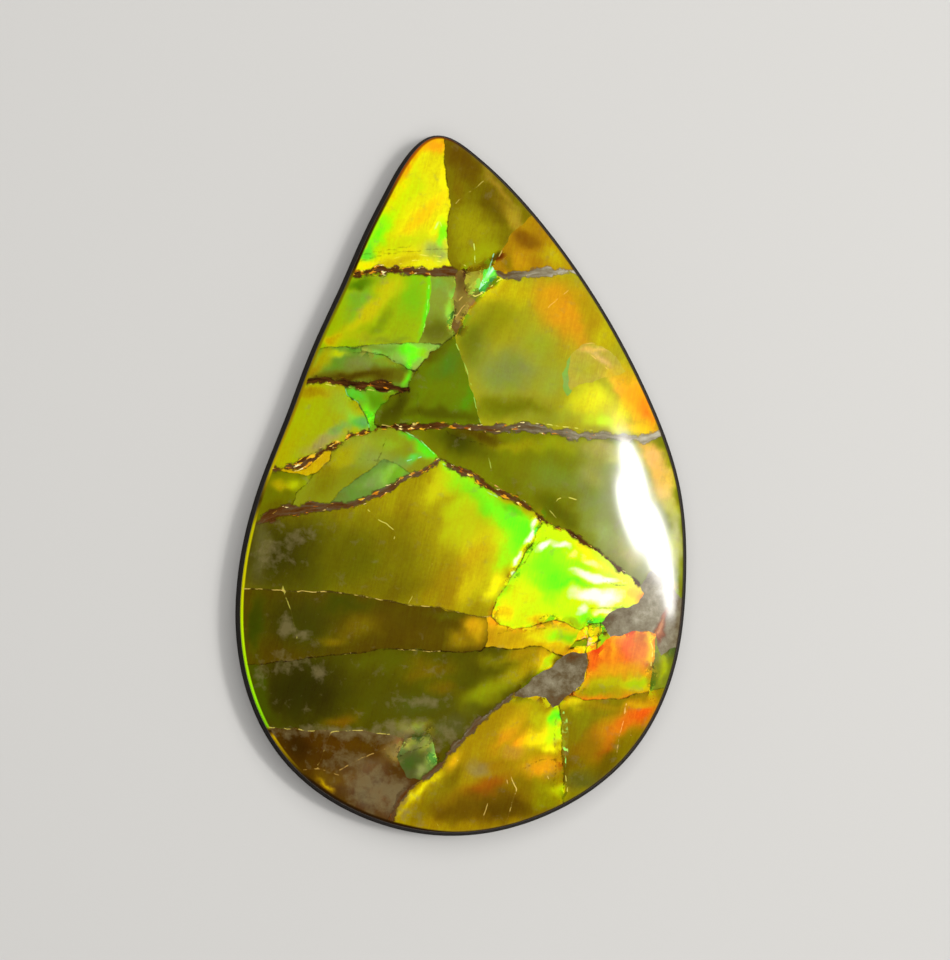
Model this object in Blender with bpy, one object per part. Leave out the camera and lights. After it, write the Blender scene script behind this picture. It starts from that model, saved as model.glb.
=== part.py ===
"""A polished teardrop of ammolite, cut from one natural stone.

The stone is iridescent fossil shell still bonded to the shale that it formed on. It was sawn to a
teardrop, ground flat on the back and domed and polished on the face, so it is one solid: a flat
base, a wall that leans in towards the top, a small rounded rim and a low dome.

It lies on its back. Lengths are in metres, +Z is up and the tip points along +Y. The origin is
the middle of the box that the base fills.
"""

import math

import bmesh
import bpy
import numpy as np

MM = 0.001

# Driving dimensions

# Points round the edge of the polished face, clockwise from the tip, seen from above.
FACE_EDGE_MM = (
    (-1.6, 21.7),
    (0.5, 20.7),
    (3.8, 17.5),
    (8.3, 11.4),
    (11.5, 5.4),
    (13.45, -0.3),
    (13.8, -6.0),
    (13.05, -11.6),
    (10.3, -16.85),
    (5.75, -20.2),
    (0.1, -21.65),
    (-5.7, -20.65),
    (-10.7, -17.2),
    (-13.2, -12.3),
    (-13.65, -6.6),
    (-12.05, 0.4),
    (-10.6, 4.1),
    (-9.05, 8.2),
    (-7.1, 12.5),
    (-5.55, 16.0),
    (-4.3, 18.45),
    (-3.2, 20.35),
)
RIM_HEIGHT = 3.15 * MM  # edge of the polished face above the base
DOME_RISE = 1.25 * MM  # crown of the dome above the rim
DOME_FULLNESS = 2.6  # 2 is a plain bowl curve; more gives a flatter top and steeper shoulders
CROWN_MM = (0.0, -4.0)  # where the dome is highest, in the teardrop's widest part
RIM_RADIUS = 0.22 * MM  # rounding where the face turns down into the wall
WALL_LEAN = math.radians(7.0)  # the wall's lean from upright, wider at the base
BASE_CHAMFER = 0.25 * MM  # the edge taken off all round the ground back

# How finely the curves are drawn
STEPS_PER_SPAN = 7  # outline points from one edge point to the next
RIM_STEPS = 4
DOME_STEPS = 12
DOME_CROWDING = 1.2  # above 1 draws the dome's rings closer together towards the rim
CREASE_ANGLE = math.radians(35)  # edges sharper than this stay crisp in the shading

SHELL_GOLD = (0.33, 0.27, 0.02, 1.0)  # the face's average colour, linear
POLISH_ROUGHNESS = 0.08
SHELL_METALLIC = 0.15


def clear_scene():
    for thing in list(bpy.data.objects):
        bpy.data.objects.remove(thing, do_unlink=True)


def smooth_loop(points, steps):
    """A closed curve of even curvature through the points: a periodic cubic spline on chord length."""
    points = np.array(points, float)
    count = len(points)
    following = np.roll(points, -1, axis=0)
    chord = np.linalg.norm(following - points, axis=1)
    system = np.zeros((count, count))
    wanted = np.zeros((count, 2))
    for i in range(count):
        before, after = chord[i - 1], chord[i]
        system[i, i - 1] = after
        system[i, i] = 2 * (before + after)
        system[i, (i + 1) % count] = before
        wanted[i] = 3 * (
            after / before * (points[i] - points[i - 1])
            + before / after * (following[i] - points[i])
        )
    slope = np.linalg.solve(system, wanted)
    curve = []
    for i in range(count):
        for t in np.arange(steps) / steps:
            curve.append(
                (2 * t**3 - 3 * t**2 + 1) * points[i]
                + (t**3 - 2 * t**2 + t) * chord[i] * slope[i]
                + (3 * t**2 - 2 * t**3) * following[i]
                + (t**3 - t**2) * chord[i] * slope[(i + 1) % count]
            )
    return np.array(curve)


def outward(loop):
    """Unit normals of a clockwise loop, pointing out of it."""
    along = np.roll(loop, -1, axis=0) - np.roll(loop, 1, axis=0)
    along /= np.linalg.norm(along, axis=1)[:, None]
    return np.stack([-along[:, 1], along[:, 0]], axis=1)


def wall_section():
    """(distance out from the face's edge, height) pairs, from the base up to the face's edge."""
    lean_out = math.tan(WALL_LEAN)
    arc = []
    for angle in np.linspace(WALL_LEAN, math.pi / 2, RIM_STEPS + 1):
        out = RIM_RADIUS * math.cos(angle)
        arc.append((out, RIM_HEIGHT - RIM_RADIUS + RIM_RADIUS * math.sin(angle)))
    wall_foot = arc[0][0] + lean_out * (arc[0][1] - BASE_CHAMFER)
    return [(wall_foot - BASE_CHAMFER, 0.0), (wall_foot, BASE_CHAMFER), *arc]


def stone_rings():
    """The stone's level rings from the base to just below the crown, each (x, y) points and a height."""
    edge = smooth_loop(FACE_EDGE_MM, STEPS_PER_SPAN) * MM
    crown = np.array(CROWN_MM) * MM
    rings = [(edge + outward(edge) * out, height) for out, height in wall_section()]
    for k in range(1, DOME_STEPS):
        share = 1 - (k / DOME_STEPS) ** DOME_CROWDING
        height = RIM_HEIGHT + DOME_RISE * (1 - share**DOME_FULLNESS)
        rings.append((crown + (edge - crown) * share, height))
    widest = rings[1][0]
    middle = (widest.min(axis=0) + widest.max(axis=0)) / 2
    return [(ring - middle, height) for ring, height in rings], crown - middle


def polished_material():
    material = bpy.data.materials.new("polished_ammolite")
    material.use_nodes = True
    shader = material.node_tree.nodes["Principled BSDF"]
    shader.inputs["Base Color"].default_value = SHELL_GOLD
    shader.inputs["Roughness"].default_value = POLISH_ROUGHNESS
    shader.inputs["Metallic"].default_value = SHELL_METALLIC
    return material


def make_stone():
    """The whole stone: its rings bridged one to the next, with a flat back and a closed crown."""
    rings, crown = stone_rings()
    mesh = bmesh.new()
    loops = []
    for ring, height in rings:
        corners = [mesh.verts.new((x, y, height)) for x, y in ring]
        loops.append([mesh.edges.new((corners[i - 1], corners[i])) for i in range(len(corners))])
    for lower, upper in zip(loops, loops[1:]):
        bmesh.ops.bridge_loops(mesh, edges=lower + upper)
    bmesh.ops.contextual_create(mesh, geom=loops[0])
    top = bmesh.ops.contextual_create(mesh, geom=loops[-1])["faces"]
    peak = bmesh.ops.poke(mesh, faces=top)["verts"][0]
    peak.co = (*crown, RIM_HEIGHT + DOME_RISE)
    bmesh.ops.recalc_face_normals(mesh, faces=mesh.faces)
    data = bpy.data.meshes.new("ammolite_stone")
    mesh.to_mesh(data)
    mesh.free()
    data.shade_smooth()
    data.set_sharp_from_angle(angle=CREASE_ANGLE)
    data.materials.append(polished_material())
    stone = bpy.data.objects.new("ammolite_stone", data)
    bpy.context.scene.collection.objects.link(stone)
    return stone


clear_scene()
make_stone()
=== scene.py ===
"""The looks of a polished ammolite teardrop.

Ammolite is the mother-of-pearl of a fossil shell, pressed into shards and mended by mineral veins.
The polished face is one mesh, cut along every fracture, so that each shard can flash its own
colours right up to a crisp, ragged edge. The rim, the leaning shale wall and the ground back are
drawn down from that face's outline, so that the whole stone is one closed piece.

Fractures, shards and flashes are placed by pixels of the reference photograph, where the stone is
seen from almost straight above. PIXELS_PER_MM turns them into real sizes.
"""

import math

import bpy
import numpy as np
from mathutils import Matrix, Vector, kdtree
from mathutils.geometry import delaunay_2d_cdt


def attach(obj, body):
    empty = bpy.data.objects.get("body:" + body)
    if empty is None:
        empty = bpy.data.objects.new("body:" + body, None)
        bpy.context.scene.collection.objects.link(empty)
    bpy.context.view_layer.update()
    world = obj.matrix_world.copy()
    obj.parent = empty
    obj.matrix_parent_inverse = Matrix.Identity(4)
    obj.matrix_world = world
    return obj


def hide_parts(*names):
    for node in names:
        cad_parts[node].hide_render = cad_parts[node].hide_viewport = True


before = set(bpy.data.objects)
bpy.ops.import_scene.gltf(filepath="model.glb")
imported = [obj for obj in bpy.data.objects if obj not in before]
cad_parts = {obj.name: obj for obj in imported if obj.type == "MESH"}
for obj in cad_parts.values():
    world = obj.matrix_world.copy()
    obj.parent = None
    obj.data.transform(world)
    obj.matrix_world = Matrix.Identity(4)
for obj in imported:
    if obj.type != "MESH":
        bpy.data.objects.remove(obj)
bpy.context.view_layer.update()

MM = 0.001
MICRONS_PER_MM = 1000

# The stone, as the solid model has it. The edge points run clockwise from the tip, seen from above.

FACE_EDGE_MM = (
    (-1.6, 21.7),
    (0.5, 20.7),
    (3.8, 17.5),
    (8.3, 11.4),
    (11.5, 5.4),
    (13.45, -0.3),
    (13.8, -6.0),
    (13.05, -11.6),
    (10.3, -16.85),
    (5.75, -20.2),
    (0.1, -21.65),
    (-5.7, -20.65),
    (-10.7, -17.2),
    (-13.2, -12.3),
    (-13.65, -6.6),
    (-12.05, 0.4),
    (-10.6, 4.1),
    (-9.05, 8.2),
    (-7.1, 12.5),
    (-5.55, 16.0),
    (-4.3, 18.45),
    (-3.2, 20.35),
)
RIM_HEIGHT_MM = 3.15
DOME_RISE_MM = 1.25
DOME_FULLNESS = 2.6  # 2 is a plain bowl curve; more gives a flatter top and steeper shoulders
CROWN_MM = (0.0, -4.0)
RIM_RADIUS_MM = 0.22
WALL_LEAN = math.radians(7.0)
BASE_CHAMFER_MM = 0.25
SOLID_STEPS_PER_SPAN = 7  # outline points from one edge point to the next
EDGE_SLOPE = math.radians(13)  # the dome's fall where it meets the rim

# How it is meshed

FINE_STEPS_PER_SPAN = 40  # the same, before the outline is cut into even steps
WALL_ROWS = 8
RIM_ROWS = 4
HAIR_INSIDE_MM = 0.008  # keeps the fine mesh inside the solid model
EDGE_STEP = 0.14  # mm, as are the next four
SEAM_STEP = 0.09
FIELD_STEP = 0.15
CLEAR_OF_SEAMS = 0.055
CLEAR_OF_EDGE = 0.6 * EDGE_STEP
JOIN_REACH_MM = 0.4  # a loose crack end this near another crack is tied to it
TOUCHING_MM = 0.001  # and one nearer than this is tied already
MERGE_MM = 1e-6  # points closer than this become one
WHOLE_HULL = 0  # asks for triangles over the points' whole convex hull
CREASE_ANGLE = math.radians(35)
SHALE_BELOW_MM = RIM_HEIGHT_MM - 0.9 * RIM_RADIUS_MM  # lower faces are shale
BACK_BELOW_MM = 0.9 * BASE_CHAMFER_MM  # and these are the ground back and its chamfer

# The photograph

PIXELS_PER_MM = 16.0
PHOTO_ORIGIN = (462.0, 484.0)  # the pixel where the stone's own origin lies
PHOTO_CENTRE = (475.0, 480.0)

# Fractures: ragged routes through the shell. A point is (x, y) in pixels.

FRACTURES = {
    "tip": [
        (446, 128), (445, 143), (444, 158), (446, 175), (449, 191), (450, 208), (448, 218), (447, 231),
        (448, 244), (448, 258), (452, 272),
    ],
    "neck_bridge": [(452, 272), (466, 270), (484, 269), (497, 271)],
    "amber": [(497, 271), (499, 256), (503, 247), (511, 233), (522, 224), (532, 214), (546, 205)],
    "flake": [
        (466, 270), (465, 290), (470, 294), (480, 291), (484, 292), (490, 286), (499, 279), (504, 276),
    ],
    "glint": [(479, 288), (484, 269), (494, 258), (499, 255)],
    "glint_right": [(497, 270), (490, 279), (485, 290)],
    "notch_right": [(484, 292), (475, 301), (468, 312), (460, 321), (456, 333)],
    "notch_left": [(452, 272), (456, 284), (452, 298), (454, 312), (451, 327), (456, 333)],
    "lime_right": [(431, 272), (429, 300), (426, 318), (422, 334), (418, 343)],
    "bottle_left": [
        (456, 333), (444, 343), (430, 352), (422, 363), (415, 372), (409, 382), (407, 390), (398, 393),
        (390, 396), (381, 405), (375, 415), (374, 424), (378, 427),
    ],
    "bottle_right": [
        (456, 333), (456, 344), (462, 360), (468, 376), (473, 393), (477, 410), (482, 427),
    ],
    "lime_foot": [
        (314, 348), (324, 347), (346, 346), (370, 345), (386, 344), (400, 344), (418, 343), (440, 344),
    ],
    "wedge_foot": [(346, 346), (358, 348), (369, 352), (384, 355), (401, 364), (407, 369), (417, 371)],
    "emerald": [(345, 386), (347, 395), (358, 402), (364, 413), (367, 419), (369, 430)],
    "lens_top": [(400, 428), (404, 433), (415, 438), (424, 444), (432, 451), (441, 460)],
    "lens_split": [(331, 446), (330, 461), (316, 473), (307, 483), (296, 493), (290, 510)],
    "gold_strip": [(270, 469), (277, 470), (290, 473), (307, 476), (316, 473)],
    "lens_lower": [
        (414, 477), (406, 471), (396, 464), (384, 459), (377, 465), (368, 472), (350, 484), (338, 493),
        (328, 506),
    ],
    "flash_left": [
        (541, 516), (541, 526), (536, 533), (533, 543), (525, 553), (518, 566), (513, 574), (508, 583),
        (501, 592), (495, 604), (491, 616),
    ],
    "dotted": [
        (238, 588), (258, 589), (275, 590), (302, 591), (317, 592), (348, 594), (361, 595), (377, 599),
        (403, 604), (421, 606), (440, 607), (457, 612), (470, 615), (480, 617), (491, 616),
    ],
    "strip_top": [
        (491, 616), (500, 625), (513, 629), (528, 627), (543, 623), (556, 620), (566, 623), (573, 627),
        (580, 630), (592, 624), (601, 623),
    ],
    "strip_left": [(486, 616), (487, 630), (485, 648)],
    "ledge": [
        (238, 666), (255, 664), (272, 663), (292, 661), (313, 657), (330, 655), (351, 653), (375, 650),
        (398, 649), (426, 651), (455, 652), (481, 651), (485, 647), (498, 648), (506, 649), (518, 649),
        (530, 646), (540, 646), (548, 650), (554, 653), (563, 656),
    ],
    "wedge_rock": [
        (563, 656), (574, 652), (586, 653), (588, 665), (583, 683), (571, 693), (563, 700), (559, 705),
        (553, 708), (549, 703), (546, 698), (523, 698), (514, 696), (520, 689), (539, 674), (553, 667),
        (563, 656),
    ],
    "rock_right": [
        (641, 586), (646, 580), (652, 571), (664, 575), (676, 590), (684, 600), (684, 640), (670, 650),
        (662, 656), (657, 634), (646, 631), (622, 636), (611, 637), (601, 623), (607, 616), (614, 611),
        (627, 608), (639, 603), (645, 594), (641, 586),
    ],
    "rubble_edge": [(601, 623), (611, 637), (602, 645), (594, 650), (586, 653)],
    "rubble_left": [(580, 630), (576, 640), (570, 648), (563, 656)],
    "rubble_a": [(577, 641), (590, 637), (609, 632)],
    "rubble_b": [(590, 624), (588, 640), (585, 654)],
    "rubble_c": [(601, 624), (598, 636), (597, 649)],
    "rubble_d": [(569, 649), (585, 646), (601, 640)],
    "ember_foot": [
        (569, 695), (583, 700), (598, 700), (614, 699), (627, 698), (639, 694), (654, 690), (666, 688),
        (678, 684),
    ],
    "ember_left": [(586, 653), (589, 663), (586, 678), (578, 690), (571, 693)],
    "ember_right": [(657, 634), (656, 650), (653, 668), (651, 691)],
    "upright": [
        (559, 704), (560, 712), (562, 720), (561, 731), (562, 748), (563, 764), (564, 781), (563, 799),
        (565, 812), (566, 830),
    ],
    "green_patch": [
        (397, 757), (402, 746), (405, 738), (416, 737), (429, 733), (433, 742), (435, 752), (437, 764),
    ],
    "green_patch_foot": [(397, 757), (402, 768), (408, 778), (421, 780)],
    "healed": [
        (268, 727), (288, 729), (310, 731), (332, 732), (352, 730), (372, 732), (394, 735), (404, 738),
    ],
    "chip_arc": [
        (574, 387), (567, 396), (563, 386), (562, 373), (567, 361), (573, 352), (584, 343), (593, 342),
        (604, 346), (613, 352), (621, 361), (627, 370),
    ],
    "chip_inner": [(573, 352), (570, 364), (569, 376), (570, 389)],
    "chip_foot": [(574, 387), (587, 382), (599, 379), (612, 376), (627, 370)],
}

# Veins: fractures filled with rock. A point is (x, y, width) in pixels. Tone runs from dark brown at
# 0 to pale grey at 1, and gold says how much broken shell glitters in the filling. Both are given
# for the route's start and its end.

VEINS = {
    "neck_left": dict(
        tone=(0.15, 0.34),
        gold=(1.0, 0.4),
        route=[
            (340, 275, 5), (354, 273, 6), (373, 270, 6), (393, 269, 7), (415, 271, 8), (433, 272, 11),
            (452, 272, 13),
        ],
    ),
    "neck_right": dict(
        tone=(0.4, 1.0),
        gold=(0.2, 0.3),
        route=[
            (497, 271, 5), (504, 275, 7), (512, 274, 8), (527, 273, 9), (544, 271, 9), (556, 271, 9),
            (570, 269, 6), (584, 268, 5),
        ],
    ),
    "brown_left": dict(
        tone=(0.12, 0.1),
        gold=(0.5, 0.5),
        route=[
            (298, 380, 6), (310, 380, 8), (326, 380, 9), (347, 383, 10), (370, 384, 11), (387, 387, 10),
            (402, 389, 7), (408, 390, 4),
        ],
    ),
    "main": dict(
        tone=(0.05, 0.95),
        gold=(0.9, 0.2),
        route=[
            (378, 427, 4), (392, 427, 4), (402, 428, 5), (425, 427, 6), (445, 426, 6), (465, 427, 6),
            (481, 428, 8), (501, 428, 9), (520, 427, 9), (540, 429, 9), (556, 432, 9), (578, 435, 10),
            (593, 436, 9), (616, 436, 9), (639, 438, 9), (659, 435, 8), (672, 433, 8),
        ],
    ),
    "left_gold": dict(
        tone=(0.2, 0.3),
        gold=(1.0, 0.9),
        route=[
            (378, 427, 3), (375, 430, 4), (362, 433, 5), (351, 435, 5), (344, 441, 6), (330, 447, 7),
            (318, 454, 8), (306, 462, 9), (296, 467, 8), (286, 468, 7), (275, 469, 6), (263, 471, 6),
        ],
    ),
    "diagonal": dict(
        tone=(0.3, 0.15),
        gold=(0.9, 0.5),
        route=[
            (441, 460, 4), (460, 470, 7), (473, 475, 7), (486, 486, 6), (503, 495, 6), (520, 503, 5),
            (533, 511, 4), (548, 523, 3), (559, 528, 4), (573, 534, 5), (586, 544, 4), (601, 554, 4),
            (616, 566, 3), (631, 576, 3), (641, 586, 3),
        ],
    ),
    "lens_foot": dict(
        tone=(0.38, 0.27),
        gold=(1.0, 0.15),
        route=[
            (441, 460, 4), (429, 466, 5), (419, 473, 6), (408, 477, 6), (398, 483, 6), (389, 489, 7),
            (373, 496, 8), (361, 501, 8), (347, 506, 9), (331, 507, 10), (316, 508, 12), (300, 509, 13),
            (289, 511, 13), (278, 513, 12), (266, 518, 10), (255, 524, 8), (244, 527, 8),
        ],
    ),
    "lower_diagonal": dict(
        tone=(0.5, 0.3),
        gold=(0.1, 0.3),
        route=[
            (514, 692, 4), (511, 695, 5), (501, 704, 5), (490, 713, 6), (478, 723, 6), (468, 734, 6),
            (458, 743, 5), (450, 752, 5), (441, 764, 5), (426, 777, 5), (410, 789, 4), (398, 802, 5),
            (394, 813, 6), (391, 821, 8), (388, 834, 8),
        ],
    ),
}

# Shell colours. Hue runs from red at 0 to blue-green at 1, and HUES names places along it.

SPECTRUM = (
    (0.00, "#E03C08"),
    (0.07, "#EE5E0A"),
    (0.14, "#F27E0A"),
    (0.22, "#E89C06"),
    (0.33, "#E4BC00"),
    (0.42, "#E8E000"),
    (0.53, "#C4E600"),
    (0.62, "#96E808"),
    (0.74, "#5CE60E"),
    (0.86, "#30D84C"),
    (0.94, "#5CDC9C"),
    (1.00, "#60B8A0"),
)
HUES = {
    "ember": 0.0,
    "flame": 0.07,
    "orange": 0.14,
    "amber": 0.22,
    "honey": 0.28,
    "gold": 0.33,
    "old_gold": 0.375,
    "yellow": 0.42,
    "olive": 0.47,
    "lime": 0.53,
    "leaf": 0.62,
    "green": 0.74,
    "emerald": 0.86,
    "mint": 0.95,
}

# Rock, from tone 0 to tone 1, and bits of shell that glint in it

ROCK_TONES = (
    (0.00, "#241204"),
    (0.25, "#54310F"),
    (0.50, "#5C4E34"),
    (0.75, "#847B62"),
    (1.00, "#B2AB96"),
)
GLINTS = (
    (0.0, "#8A3C08"),
    (0.4, "#C87810"),
    (0.75, "#E8B820"),
    (1.0, "#FFF4A8"),
)

# Shards: the shell between fractures. seed is a pixel inside the shard. colour is (hue, glow,
# milk_and_glare): the named hue that the shell flashes; how strongly, partly the shell's own
# strength of colour and partly painted light, the lamp that the shard's platelets throw back, with a
# painted white glare where it runs well past 1; and how milky it is, which by the white leaf is
# painted glare from the lamp's reflection. Each flash adds a place where it differs: (x, y, half
# length, half width, turn in degrees, hue, glow, milk_and_glare). Where the hue is "rock" the
# place is bare rock, and glow is its tone.

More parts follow.
